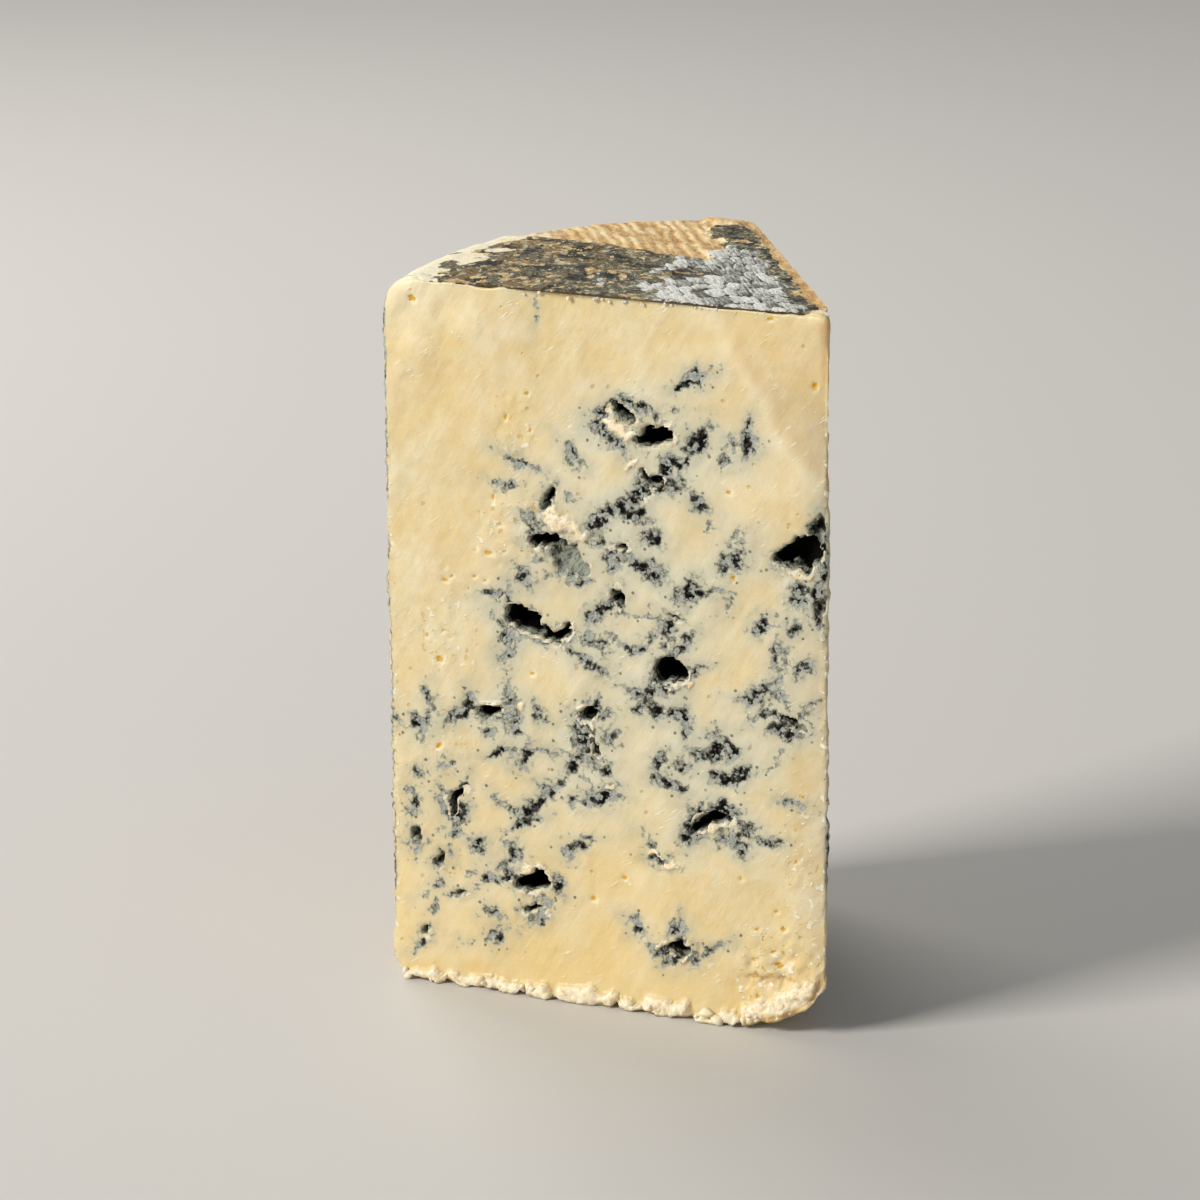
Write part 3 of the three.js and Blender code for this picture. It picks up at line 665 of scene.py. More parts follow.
def make_ragged():
    """Mask = smooth step of field + (noise - 0.5) * spread, from low to high."""
    group = bpy.data.node_groups.new("ragged_mask", "ShaderNodeTree")
    for name, value in (("Field", 0.0), ("Lumps", 900.0), ("Spread", 1.0), ("Low", 0.4), ("High", 0.6)):
        socket = group.interface.new_socket(name, in_out="INPUT", socket_type="NodeSocketFloat")
        socket.default_value = value
    group.interface.new_socket("Mask", in_out="OUTPUT", socket_type="NodeSocketFloat")
    given = group.nodes.new("NodeGroupInput").outputs
    result = group.nodes.new("NodeGroupOutput")
    centred = math_of(group, "SUBTRACT", noise_of(group, given["Lumps"], 4.0, 0.62), 0.5)
    total = math_of(group, "ADD", given["Field"], product_of(group, centred, given["Spread"]))
    group.links.new(step_of(group, total, given["Low"], given["High"]), result.inputs[0])
    return group


CREAM = make_cream()
RAGGED = make_ragged()


def ragged_of(tree, field, lumps, spread, low, high):
    """The ragged mask of a number stored on the vertices."""
    value = field_of(tree, field)
    return group_of(tree, RAGGED, Field=value, Lumps=lumps, Spread=spread, Low=low, High=high)


print("groups", CREAM.name, RAGGED.name)

# %% [markdown]
# ## The curd
# The curd is the cream-coloured body of the paste. Over the cream come broad tints by fields that the mesh
# will carry: greyer near the mould, buttery low down, warm at the tip, partly as painted shade, dusky at the
# upright edges, a painted highlight on the crests of the folds and along the facet's edge, and painted shade
# in
# the folds' troughs, on the facet, beside its edge and in the groove over the foot. Then come small marks:
# slanting glints, which are painted highlights where the wire smeared the fat, white flecks, partly pale curd
# and partly painted highlight, and amber pits where the curd tore, and tiny amber pricks. The marks stand out
# or sink in a little, so their heights are summed for the bump.

# %% The curd
CURD_TINTS = (
    ("fade", "d5d3be"), ("butter_and_shade", "e9cb86"), ("painted_highlight", "f2e6c6"), ("warm", "cfa667"), ("dusk_and_shade", "b5aa94"),
)


def paint_curd(tree):
    """Cream with its tints and marks, each by its mask; the glints are painted highlights and the white
    flecks partly so. The second result is the marks' summed height.
    """
    colour = group_of(tree, CREAM)
    for field, shade in CURD_TINTS:
        colour = blend_of(tree, field_of(tree, field), colour, shade)
    torn = field_of(tree, "torn")
    broken = noise_of(tree, 560.0, 2.0, 0.5)
    cluster = patches_of(tree, 110.0, 2.0, 0.5, 0.50, 0.62)
    # Slanting glints: painted highlights where the wire smeared the fat.
    wisp = step_of(tree, streaks_of(tree, (0, -WISP_SLANT, 0), (3.4, 0.55, 0.55), 1.0), 0.62, 0.72)
    painted_glint = product_of(tree, wisp, cluster)
    # White flecks on the torn curd: partly pale chips, partly painted highlight.
    fleck = product_of(tree, step_of(tree, broken, 0.62, 0.68), torn)
    pit = product_of(tree, step_of(tree, broken, 0.345, 0.30), torn)
    prick = seeds_of(tree, 150.0, 0.09, 0.05)
    marks = ((painted_glint, 0.5, "fbf3dc"), (fleck, 0.9, "f9f2de"), (pit, 0.9, "dcae4a"), (prick, 0.55, "cfa84e"))
    for mask, share, shade in marks:
        colour = tinted_of(tree, colour, mask, share, shade)
    return colour, weighted_of(tree, (painted_glint, 0.6), (fleck, 1.6), (pit, -2.6), (prick, -1.2))


print(len(CURD_TINTS), "tints lie over the cream")

# %% [markdown]
# ## The mould
# Mould stains the curd round each vein grey and scatters dark specks in the stain. The vein itself goes from
# pale grey through slate to black: vein, stain and ragged noise are added up to a growth, and each tone has
# its own step of it, so a patch is black in its middle and pale at its edge. Frosty grains lie on the grey.
# The hollows have dark walls, painted shadow over dark mould, furred with grey low down, where frost on the
# lit lower wall is painted light, and a black core of mould and painted shadow. The pinholes are amber.

# %% The mould


def paint_mould(tree, colour, flaw, crevice):
    """Stain, specks, four tones and frosty grains over a colour. The second result is the growth: 0.92 vein +
    0.32 stain + a ragged share that grows with the stain."""
    stain = field_of(tree, "stain")
    colour = tinted_of(tree, colour, stain, 0.62, "acaa94")
    speck = product_of(tree, seeds_of(tree, 330.0, 0.16, 0.10), step_of(tree, stain, 0.06, 0.30))
    colour = tinted_of(tree, colour, speck, 0.8, "544c36")
    ragged = weighted_of(tree, (flaw, 1.75), (crevice, 0.20))
    ragged = product_of(tree, ragged, step_of(tree, stain, 0.05, 0.40))
    growth = weighted_of(tree, (field_of(tree, "vein"), 0.92), (stain, 0.32), (ragged, 1.0))
    mottle = patches_of(tree, 2000.0, 2.0, 0.6, 0.38, 0.62)
    slate = blend_of(tree, mottle, "6b6b5f", "9b9b8b")
    tones = ((0.36, 0.58, "b1af99"), (0.52, 0.70, slate), (0.84, 0.98, "3b3a34"), (1.06, 1.22, "0b0a08"))
    for low, high, shade in tones:
        colour = blend_of(tree, step_of(tree, growth, low, high), colour, shade)
    grains = patches_of(tree, 560.0, 2.0, 0.5, 0.50, 0.57)
    grains = product_of(tree, grains, step_of(tree, growth, 0.5, 0.75))
    return tinted_of(tree, colour, grains, 0.75, "b4b7ae"), growth


def paint_hollows(tree, colour, flaw):
    """Walls in painted shadow, lighter frost on the lit lower wall, grey fur, a black core of mould and
    painted shadow, and amber pinholes over a colour; the second result masks the walls.
    """
    lit_frost = field_of(tree, "lit_frost")
    depth = weighted_of(tree, (field_of(tree, "hollow"), 1.0), (flaw, 1.6))
    inside = step_of(tree, depth, 0.9, 1.4)
    furred = step_of(tree, weighted_of(tree, (flaw, 1.0), (lit_frost, 0.2)), -0.04, 0.13)
    # Painted shadow on the walls, dark to olive.
    shadow = blend_of(tree, noise_of(tree, 260.0, 2.0, 0.5), "0b0a08", "4a4228")
    # The lit frost lightens the lower wall: painted light.
    wall = blend_of(tree, furred, blend_of(tree, lit_frost, shadow, "4d4c42"), "989b8d")
    # The black core is dark mould and painted shadow.
    mould_and_shadow_core = step_of(tree, weighted_of(tree, (depth, 1.0), (lit_frost, -2.2)), 1.7, 2.9)
    pinhole = weighted_of(tree, (field_of(tree, "pinhole"), 1.0), (flaw, 1.0))
    colour = blend_of(tree, inside, colour, wall)
    colour = blend_of(tree, mould_and_shadow_core, colour, "050403")
    return blend_of(tree, step_of(tree, pinhole, 0.34, 0.52), colour, "dfae3c"), inside


print("mould and hollows can be painted")

# %% [markdown]
# ## The paste's finish
# The paste is waxy and lets light in a few millimetres, which is why its shadows stay warm. Subsurface
# scattering gives that. Mould is dry, so it gets no scattering, less shine and more roughness. The colours
# go on in order: curd, mould, the pale lumps and lips that stand proud of the mould, the lips partly a
# painted highlight, and last the hollows with their painted shadow.

# %% The paste's finish
PALE_PLACES = (("pale", 500.0, 1.0, 0.50, "f6e5c7"), ("highlit_lip", 210.0, 2.4, 0.62, "dcd6c0"))
PALE_STEP = 0.24


def paint_lumps(tree, colour, grain):
    """Pale curd lumps and the lips of the hollows, partly painted highlight, over a colour; both get darker
    yellow painted shade between their grains.
    """
    # Darker yellow between the grains is painted shade.
    between = step_of(tree, grain, 0.34, 0.50)
    for field, lumps, spread, low, shade in PALE_PLACES:
        mask = ragged_of(tree, field, lumps, spread, low, low + PALE_STEP)
        colour = blend_of(tree, mask, colour, blend_of(tree, between, "e0c58f", shade))
    return colour


def make_paste_finish():
    """Colours in order, then shine, scattering and fine relief, which all change where the mould is dark."""
    material, tree, shader = new_material("paste")
    flaw = math_of(tree, "SUBTRACT", noise_of(tree, 600.0, 3.0, 0.48), 0.5)
    crevice = seeds_of(tree, 1100.0, 0.30, 0.72)
    grain = noise_of(tree, 850.0, 3.0, 0.6)
    colour, marks = paint_curd(tree)
    colour, growth = paint_mould(tree, colour, flaw, crevice)
    colour = paint_lumps(tree, colour, grain)
    colour, inside = paint_hollows(tree, colour, flaw)
    dark = math_of(tree, "MAXIMUM", step_of(tree, growth, 0.5, 1.0), inside)
    wire(tree, shader.inputs["Base Color"], colour)
    wire(tree, shader.inputs["Roughness"], weighted_of(tree, (dark, 0.45), (1.0, 0.40)))
    wire(tree, shader.inputs["Specular IOR Level"], weighted_of(tree, (dark, -0.4), (1.0, 0.5)))
    add_scattering(tree, shader, weighted_of(tree, (dark, -0.32), (1.0, 0.32)), 0.0035)
    scratch = streaks_of(tree, (0, -SCRATCH_SLANT, 0), (5.0, 0.7, 0.7), 3.0)
    uneven = noise_of(tree, 420.0, 3.0, 0.6)
    lumps = product_of(tree, grain, field_of(tree, "pale"))
    crust = product_of(tree, crevice, dark)
    height = weighted_of(tree, (scratch, 0.5), (uneven, 1.0), (marks, 1.0), (lumps, 1.7), (crust, -1.3))
    add_bump(tree, shader, height, 0.5, 0.0004)
    return material


PASTE = make_paste_finish()
print("finish", PASTE.name, len(PASTE.node_tree.nodes), "nodes")

# %% [markdown]
# ## From arrays to a mesh
# Each piece is a stack of closed rings: every ring has the same number of points, neighbouring rings are
# joined by quads, and a pole closes each end with a fan. So a piece needs only one array of points. The
# fields go with it as float attributes, one number for every vertex.

# %% From arrays to a mesh


def ring_quads(rings, columns):
    """Quads between neighbouring rings of vertex numbers; the last column joins the first."""
    index = np.arange(rings * columns).reshape(rings, columns)
    beside = np.roll(index, -1, axis=1)
    return np.stack([index[:-1], beside[:-1], beside[1:], index[1:]], axis=-1).reshape(-1, 4)


def pole_fans(rings, columns):
    """Triangles that close the first ring to one pole and the last ring to another."""
    first = np.arange(columns)
    last = first + (rings - 1) * columns
    low_pole = np.full(columns, rings * columns)
    high_pole = low_pole + 1
    low = np.stack([np.roll(first, -1), first, low_pole], axis=-1)
    high = np.stack([last, np.roll(last, -1), high_pole], axis=-1)
    return np.concatenate([low, high])


def make_piece(name, points, quads, triangles, material, fields):
    """A mesh object from arrays: points in millimetres, quads, triangles and one value per vertex a field."""
    mesh = bpy.data.meshes.new(name)
    corners = np.concatenate([quads.ravel(), triangles.ravel()])
    counts = np.concatenate([np.full(len(quads), 4), np.full(len(triangles), 3)])
    mesh.vertices.add(len(points))
    mesh.vertices.foreach_set("co", (points * MM).astype(np.float32).ravel())
    mesh.loops.add(len(corners))
    mesh.loops.foreach_set("vertex_index", corners.astype(np.int32))
    mesh.polygons.add(len(counts))
    mesh.polygons.foreach_set("loop_start", (np.cumsum(counts) - counts).astype(np.int32))
    mesh.polygons.foreach_set("use_smooth", np.ones(len(counts), dtype=bool))
    for field, values in fields.items():
        attribute = mesh.attributes.new(field, "FLOAT", "POINT")
        attribute.data.foreach_set("value", values.astype(np.float32).ravel())
    mesh.update(calc_edges=True)
    mesh.materials.append(material)
    piece = bpy.data.objects.new(name, mesh)
    bpy.context.collection.objects.link(piece)
    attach(piece, "root")
    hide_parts(NODE)
    print(name, len(points), "points", 2 * len(quads) + len(triangles), "triangles")
    return piece


def make_ringed_piece(name, rings, material, fields):
    """A closed piece from rings of points (ring, column, xyz); its poles are the middles of the end rings."""
    count, columns, _ = rings.shape
    poles = np.stack([rings[0].mean(axis=0), rings[-1].mean(axis=0)])
    points = np.concatenate([rings.reshape(-1, 3), poles])
    stored = {}
    for field, values in fields.items():
        ends = [values[0].mean(), values[-1].mean()]
        stored[field] = np.concatenate([values.ravel(), ends])
    return make_piece(name, points, ring_quads(count, columns), pole_fans(count, columns), material, stored)


print("three rings of four give", len(ring_quads(3, 4)), "quads and", len(pole_fans(3, 4)), "triangles")

# %% [markdown]
# ## The wheel's form
# The wheel's half section says how high its top and base are at any distance from the axis: the rims are
# quarter circles, the worn tip is a quarter ellipse on top and a larger one at the foot. The top also swells
# towards the middle of the rim, and its corner at the second cut is worn down. The foot is worn further
# along the second cut. The paste stops a rind's thickness inside these surfaces.

# %% The wheel's form
RIND_TOP = 0.7
RIND_SIDE = 0.3
RIND_BASE = 2.0
RIND_SETBACK = 1.5
EDGE_SETBACK = 2.4
CORNER_DROP = 2.6
CORNER_REACH = 13.0
WORN_LIFT = 14.0
WORN_REACH = 38.0


def round_off(rise, share):
    """Drop of a quarter ellipse: 0 where the share is 0, the whole rise where it is 1."""
    share = np.clip(share, 0, 1)
    return rise * (1 - np.sqrt(1 - share * share))


def crown(radius, turn):
    """Swelling of the top: a parabola across the rim, growing outwards from the tip, less the worn corner
    where the rim meets the second cut."""
    across = np.clip(1 - (2 * turn / WEDGE_ANGLE - 1) ** 2, 0, 1)
    swell = CROWN_RISE * across * ramp(CROWN_START, WHEEL_RADIUS - TOP_SHOULDER, radius)
    to_corner = np.hypot(WHEEL_RADIUS - radius, radius * (WEDGE_ANGLE - turn))
    return swell - CORNER_DROP * ramp(CORNER_REACH, 0, to_corner)


def top_height(radius, turn):
    """Height of the wheel's top at a distance from its axis."""
    rim = round_off(TOP_SHOULDER, (radius - WHEEL_RADIUS + TOP_SHOULDER) / TOP_SHOULDER)
    tip = round_off(TIP_TOP_DROP, 1 - radius / TIP_TOP_REACH)
    return WHEEL_HEIGHT - rim - tip + crown(radius, turn)


def base_height(radius, turn):
    """Height of the wheel's underside at a distance from its axis: the rim's rounding, and the worn foot of
    the tip, which runs out further along the second cut."""
    rim = round_off(BASE_SHOULDER, (radius - WHEEL_RADIUS + BASE_SHOULDER) / BASE_SHOULDER)
    tip = round_off(TIP_FOOT_LIFT, 1 - radius / TIP_FOOT_REACH)
    worn = WORN_LIFT * np.clip(1 - radius / WORN_REACH, 0, 1) * ramp(0.3, 0.9, turn / WEDGE_ANGLE)
    return rim + np.maximum(tip, worn)


def rind_on_edge(radius):
    """1 where the top's rind reaches the cut's edge, 0 where paste covers it, at the shoulder and the tip."""
    return ramp(WHEEL_RADIUS - 8.0, WHEEL_RADIUS - 11.0, radius) * ramp(4.5, 8.0, radius)


print("top at mid radius", np.round(top_height(np.array(60.0), np.array(0.5)), 2))

# %% [markdown]
# ## Relief of the cut
# A wire does not leave a flat face. There are broad swells, folds where soft paste was dragged, fine slanting
# scratches, crumbly places where the curd tore, curd lumps that stand proud beside the hollows, a groove over
# the tip's foot, and a flat facet near the top whose edge is a chain of straight stretches. Lumps and crumbly
# places are tilted ellipses like the veins, with a height or an amount last. All become heights in
# millimetres on the same grid, so they are simply added.

# %% Relief of the cut
LUMPS = [
    (45.6, 115.4, 4.6, 1.7, -8, 0.8), (50.4, 113.2, 2.0, 1.3, -40, 0.6), (43.5, 118.8, 1.6, 1.6, 60, 0.5),
    (50.2, 72.7, 2.2, 0.8, 10, 0.8), (36.0, 31.3, 4.0, 0.8, 8, 0.7), (40.0, 29.8, 1.6, 0.9, -35, 0.6),
    (68.0, 39.5, 3.0, 0.6, -5, 0.5), (72.0, 38.0, 2.2, 0.6, 8, 0.5), (25.6, 70.5, 2.8, 0.7, 8, 0.6),
    (82.0, 46.9, 2.4, 1.0, 10, 0.6), (70.4, 18.2, 1.3, 0.8, 40, 0.6), (75.0, 14.8, 1.9, 0.8, 80, 0.6),
    (60.0, 139.4, 4.0, 1.2, -22, 0.5), (36.6, 89.4, 1.3, 0.7, 0, 0.4), (40.6, 90.2, 1.2, 0.6, 80, 0.5),
    (46.0, 90.8, 1.6, 0.6, -20, 0.4), (104.0, 111.3, 2.6, 0.8, 5, 0.5), (33.0, 70.6, 1.0, 0.8, 30, 0.4),
    (71.6, 140.8, 1.6, 0.9, 30, 0.4), (62.8, 131.2, 2.0, 0.8, 40, 0.3), (56.5, 53.6, 1.6, 0.6, 20, 0.3),
    (72.5, 81.2, 1.2, 1.0, 30, 0.5), (76.0, 82.6, 1.4, 0.7, 20, 0.4), (52.0, 67.4, 1.0, 0.8, 0, 0.4),
]
CRUMBLY = [
    (33.0, 136.0, 5.0, 12.0, 5, 0.7), (30.0, 112.0, 8.0, 9.0, 20, 0.7), (16.0, 86.0, 9.0, 12.0, 0, 0.6),
    (98.0, 16.0, 11.0, 9.0, 30, 1.3), (104.0, 40.0, 5.0, 22.0, 0, 0.7), (44.0, 116.0, 10.0, 5.0, -20, 1.2),
    (66.0, 140.0, 10.0, 6.0, 0, 0.7), (50.0, 68.0, 6.0, 9.0, 0, 0.8), (34.0, 29.0, 9.0, 6.0, 0, 0.8),
    (70.0, 39.0, 7.0, 3.0, 0, 0.9), (73.0, 17.0, 9.0, 5.0, 0, 0.8), (14.0, 62.0, 9.0, 12.0, 0, 0.5),
    (82.0, 48.0, 9.0, 6.0, 0, 0.8), (104.0, 108.0, 7.0, 10.0, 0, 0.9), (24.0, 68.0, 9.0, 5.0, 0, 0.7),
    (110.5, 90.0, 2.6, 80.0, 0, 1.0), (0.5, 70.0, 2.0, 75.0, 0, 0.7), (99.0, 12.0, 12.0, 9.0, 12, 2.2),
]
FACET_EDGE = [(83.0, 167.0), (99.0, 139.0), (107.0, 131.0)]
FACET_SLOPE = 0.085
FAR_FROM_FACET = 50.0
GROOVE = (97.0, 11.6, 8.5, 0.7, 4)
MOST_TINT = 0.8


def polyline_side(along, up, line):
    """Signed distance to a chain of straight stretches, positive on the right of the chain as followed."""
    nearest = np.full(along.shape, 1e9)
    side = np.zeros(along.shape)
    for (x0, y0), (x1, y1) in zip(line[:-1], line[1:]):
        length = math.hypot(x1 - x0, y1 - y0)
        ahead = ((along - x0) * (x1 - x0) + (up - y0) * (y1 - y0)) / length
        aside = ((along - x0) * (y1 - y0) - (up - y0) * (x1 - x0)) / length
        beyond = ahead - np.clip(ahead, 0, length)
        away = np.hypot(beyond, aside)
        closer = away < nearest
        nearest = np.where(closer, away, nearest)
        side = np.where(closer, np.sign(aside), side)
    return nearest * side


def tint_cut(along, up, fields, folds, waxy, groove, facet):
    """Broad tints of a cut: buttery low down, a painted highlight on the folds' crests, the facet's edge, the
    waxy corner and round pinholes, warm at the tip, partly as painted shade, and painted shade in the folds'
    troughs, in the groove and beside the facet's edge, dusky at the upright edges. The facet is both buttery
    and dusky, as painted shade."""
    on_right = ramp(60, 90, along)
    butter_and_shade = 0.52 * ramp(100, 25, up + 0.3 * along) + 0.1 * ramp(110, 160, up)
    # Painted shade on the facet, which turns away from the light.
    butter_and_shade += 0.65 * ramp(4, -14, facet) * on_right * (1 - 0.6 * ramp(145, 160, up))
    butter_and_shade += 0.3 * ramp(80, 104, along) * ramp(34, 14, up)
    # Less butter on the folds' crests and more in their troughs is painted shade.
    butter_and_shade += 0.12 * layered_noise(along, up, 26.0, 2, 57) - 0.25 * folds
    # Painted highlight along the facet's edge.
    facet_edge_highlight = np.exp(-(facet / 2.2) ** 2) * ramp(170, 164, up)
    # Painted highlight on the folds' crests, the waxy corner, the facet's edge and the pinholes' lit rims.
    painted_highlight = 0.5 * folds + 0.6 * waxy * ramp(148, 165, up) + 0.4 * facet_edge_highlight + 0.8 * fields.pop("rim")
    # Warm strip at the tip, partly painted shade.
    tip_strip = ramp(WHEEL_RADIUS - 4.6, WHEEL_RADIUS - 2.2, along)
    tip_strip *= 0.1 + 0.9 * ramp(150, 158, up) * ramp(171, 167, up)
    # Painted shade just beside the facet's edge.
    facet_edge_shade = 0.24 * np.exp(-((facet + 2.6 + 3 * folds) / 2.2) ** 2) + 0.12 * ramp(0, -9, facet)
    dusk_and_shade = 0.4 * ramp(100, 110, along) * ramp(158, 130, up) + 0.25 * ramp(3.5, 0, along)
    fields["butter_and_shade"] = np.clip(butter_and_shade, 0, MOST_TINT)
    fields["painted_highlight"] = np.clip(painted_highlight, 0, MOST_TINT)
    # Warm in the groove and beside the facet's edge is painted shade.
    fields["warm"] = np.maximum(np.maximum(0.75 * tip_strip, 0.5 * groove), facet_edge_shade * on_right)
    # Dusk on the facet is painted shade.
    fields["dusk_and_shade"] = dusk_and_shade + 0.30 * ramp(3, -9, facet) * on_right * ramp(162, 144, up)


def cut_relief(along, up, fields, with_facet):
    """Height of the cut over its plane in millimetres. The masks of pale lumps and torn places and the broad
    tints go into the fields."""
    ragged_along, ragged_up = frayed(along, up)
    lengthwise = along * math.cos(SCRATCH_SLANT) + up * math.sin(SCRATCH_SLANT)
    crosswise = up * math.cos(SCRATCH_SLANT) - along * math.sin(SCRATCH_SLANT)
    folds = layered_noise(along, up, 8.0, 2, 55)
    waxy = ramp(34, 6, along) * ramp(138, 160, up)
    height = 1.2 * layered_noise(along, up, 24.0, 2, 51) + (0.4 + 1.7 * waxy) * folds
    height += 0.10 * layered_noise(lengthwise / 9, crosswise, 1.6, 3, 61)
    crumb = np.full(along.shape, 0.2)
    for *patch, amount in CRUMBLY:
        crumb = np.maximum(crumb, amount * ramp(2.5, -3.0, edge_distance(along, up, patch)))
    height += crumb * 0.62 * layered_noise(along, up, 2.6, 3, 71)
    pale = np.zeros_like(along)
    for *patch, rise in LUMPS:
        inside = ramp(0.5, -0.5, edge_distance(ragged_along, ragged_up, patch))
        height += rise * inside * (1 - ramp(0.2, 2.0, fields["hollow"]))
        pale = np.maximum(pale, inside)
    groove = ramp(0.5, -0.4, edge_distance(ragged_along, ragged_up, GROOVE))
    facet = polyline_side(along, up, FACET_EDGE) if with_facet else np.full(along.shape, FAR_FROM_FACET)
    height += 0.12 * fields["highlit_lip"] - 0.45 * fields["vein"] * (0.6 + value_noise(along * 1.1, up * 1.1, 81))
    height -= fields["hollow"] * (1 + 0.55 * layered_noise(along, up, 2.0, 2, 91))
    height -= 0.5 * fields["pinhole"] + 0.7 * groove + 0.5 * ramp(-1.5, 6.0, facet)
    height -= FACET_SLOPE * np.maximum(-facet, 0) * ramp(170, 158, up) * ramp(60, 80, along)
    fields["pale"] = pale * (1 - ramp(0.2, 1.2, fields["hollow"]))
    fields["torn"] = np.clip(1.6 * crumb - 0.4, 0, 1)
    tint_cut(along, up, fields, folds, waxy, groove, facet)
    return height


print(len(LUMPS), "lumps and", len(CRUMBLY), "crumbly places")

# %% [markdown]
# ## The torn foot
# Where the wire came out at the base it tore the paste into a row of pale clumps. Each is a distance from the
# rim, a half length and a half height. A clump is a flat half ellipsoid, broken up by rounded lumps of two
# sizes. Between the clumps the lower border of the paste stands a little higher.

# %% The torn foot
NUBS = [
    (4.8, 1.8, 0.8), (10.0, 4.2, 1.5), (20.6, 6.4, 1.7), (29.8, 3.6, 1.6), (38.0, 4.4, 1.7),
    (50.0, 7.6, 2.2), (61.0, 2.4, 1.2), (70.0, 6.6, 2.0), (80.4, 3.6, 0.9), (86.2, 2.0, 1.4),
    (91.2, 2.8, 2.4), (97.2, 3.4, 3.0), (103.0, 4.4, 3.6),
]
NUB_PROUD = 1.9
FOOT_LEAST = 0.1
FOOT_GAP = 1.3


def foot_nubs(along, up, foot):
    """Height from 0 to 1 of the clumps: sqrt(1 - a^4 - b^2) over the shares a of the half length and b of the
    half height, times the lumps that break it up."""
    ragged = along + 3.2 * layered_noise(along, up, 3.0, 3, 41)
    above = up - foot + 2.2 * layered_noise(along, up, 3.0, 3, 42)
    rise = np.zeros_like(up)
    for centre, half_length, half_height in NUBS:
        level = (above - 0.9 * half_height) / half_height
        clump = 1 - ((ragged - centre) / half_length) ** 4 - level ** 2
        rise = np.maximum(rise, np.sqrt(np.clip(clump, 0, 1)))
    lumps = 0.55 * rounded_lumps(along, above, 2.8, 43) + 0.45 * rounded_lumps(along, up, 1.5, 44)
    return rise * (0.15 + 0.85 * lumps)


def foot_gap(along):
    """Height of the paste's lower border over the wheel's underside: least under each clump."""
    reach = np.zeros_like(along)
    for centre, half_length, _ in NUBS:
        reach = np.maximum(reach, np.sqrt(np.clip(1 - ((along - centre) / half_length) ** 4, 0, 1)))
    ragged = 0.8 * np.clip(layered_noise(along, 0 * along, 2.6, 2, 46), 0, 1)
    return FOOT_LEAST + FOOT_GAP * (1 - reach) + ragged


print(len(NUBS), "clumps at the foot")

# %% [markdown]
# ## The paste's plan
# Seen from above, the paste is a loop: along the first cut, round the tip, back along the second cut and
# round the rim, which the rind hides. The first cut gets the most columns, because it faces the camera. Round
# the tip one cut's relief fades into the other's.

# %% The paste's plan
FIRST_COLUMNS = 216
TIP_COLUMNS = 6
SECOND_COLUMNS = 116
RIM_COLUMNS = 10
RIM_SINK = 2.0
RIM_END_SINK = 0.4
NOWHERE = -50.0


def polar(plan):
    """Distance from the wheel's axis and turn from the first cut of places (x, y) in plan."""
    return np.hypot(plan[:, 0], plan[:, 1]), np.arctan2(plan[:, 1], -plan[:, 0])


def paste_loop():
    """Plan of the paste by columns: place (x, y) from the wheel's axis, outward direction, distance along
    each cut, and how much of each cut's relief the column takes."""
    setback = TIP_ROUND / math.tan(WEDGE_ANGLE / 2)
    first = np.linspace(WHEEL_RADIUS, setback, FIRST_COLUMNS)
    second = np.linspace(setback, WHEEL_RADIUS, SECOND_COLUMNS)
    swing = np.linspace(-math.pi / 2, math.pi / 2 - WEDGE_ANGLE, TIP_COLUMNS + 2)[1:-1]
    inset = EDGE_SETBACK / WHEEL_RADIUS
    rim_turn = np.linspace(WEDGE_ANGLE - inset, inset, RIM_COLUMNS)
    rim_reach = np.full(RIM_COLUMNS, WHEEL_RADIUS - RIM_SINK)
    rim_reach[[0, -1]] = WHEEL_RADIUS - RIM_END_SINK
    tip_out = np.stack([np.cos(swing), np.sin(swing)], axis=-1)
    rim_out = np.stack([-np.cos(rim_turn), np.sin(rim_turn)], axis=-1)
    place = np.concatenate([
        np.stack([-first, np.zeros_like(first)], axis=-1),
        np.array([-setback, TIP_ROUND]) + TIP_ROUND * tip_out,
        second[:, None] * SECOND_CUT,
        rim_reach[:, None] * rim_out,
    ])
    out = np.concatenate([
        np.tile([0.0, -1.0], (FIRST_COLUMNS, 1)),
        tip_out,
        np.tile(SECOND_CUT_OUT, (SECOND_COLUMNS, 1)),
        rim_out,
    ])
    round_tip = TIP_ROUND * (swing + math.pi / 2)
    nowhere = np.full(SECOND_COLUMNS + RIM_COLUMNS, NOWHERE)
    along_first = np.concatenate([WHEEL_RADIUS - first, WHEEL_RADIUS - setback + round_tip, nowhere])
    along_second = np.concatenate([first * 0, setback - round_tip[::-1], second, rim_turn * 0])
    share = np.linspace(1, 0, TIP_COLUMNS + 2)[1:-1]
    first_share = np.concatenate([first * 0 + 1, share, nowhere * 0])
    second_share = np.concatenate([first * 0, 1 - share, second * 0 + 1, rim_turn * 0])
    return place, out, along_first, along_second, first_share, second_share


print("the loop has", len(paste_loop()[0]), "columns")

# %% [markdown]
# ## The paste
# Each ring of the piece is the plan's loop at one share of the height, so the rings follow the rounded
# shoulder and the lifted foot by themselves. The relief then pushes every point out along its face. The
# second cut is not seen in the photograph: it takes the first cut's fields turned half round. Where no rind
# shows on a cut's edge, the edge is eased, and at the rim it is scalloped by the ribs of the rind.

# %% The paste
PASTE_RINGS = 272
RIM_DROP = 2.6
CAP_SHARES = (0.94, 0.75, 0.45)
CAP_SINK = 1.0
EDGE_ROUND = 3.2
EDGE_DROP = 1.1
RIB_PITCH = 3.1
THIN_SHARE = 0.42


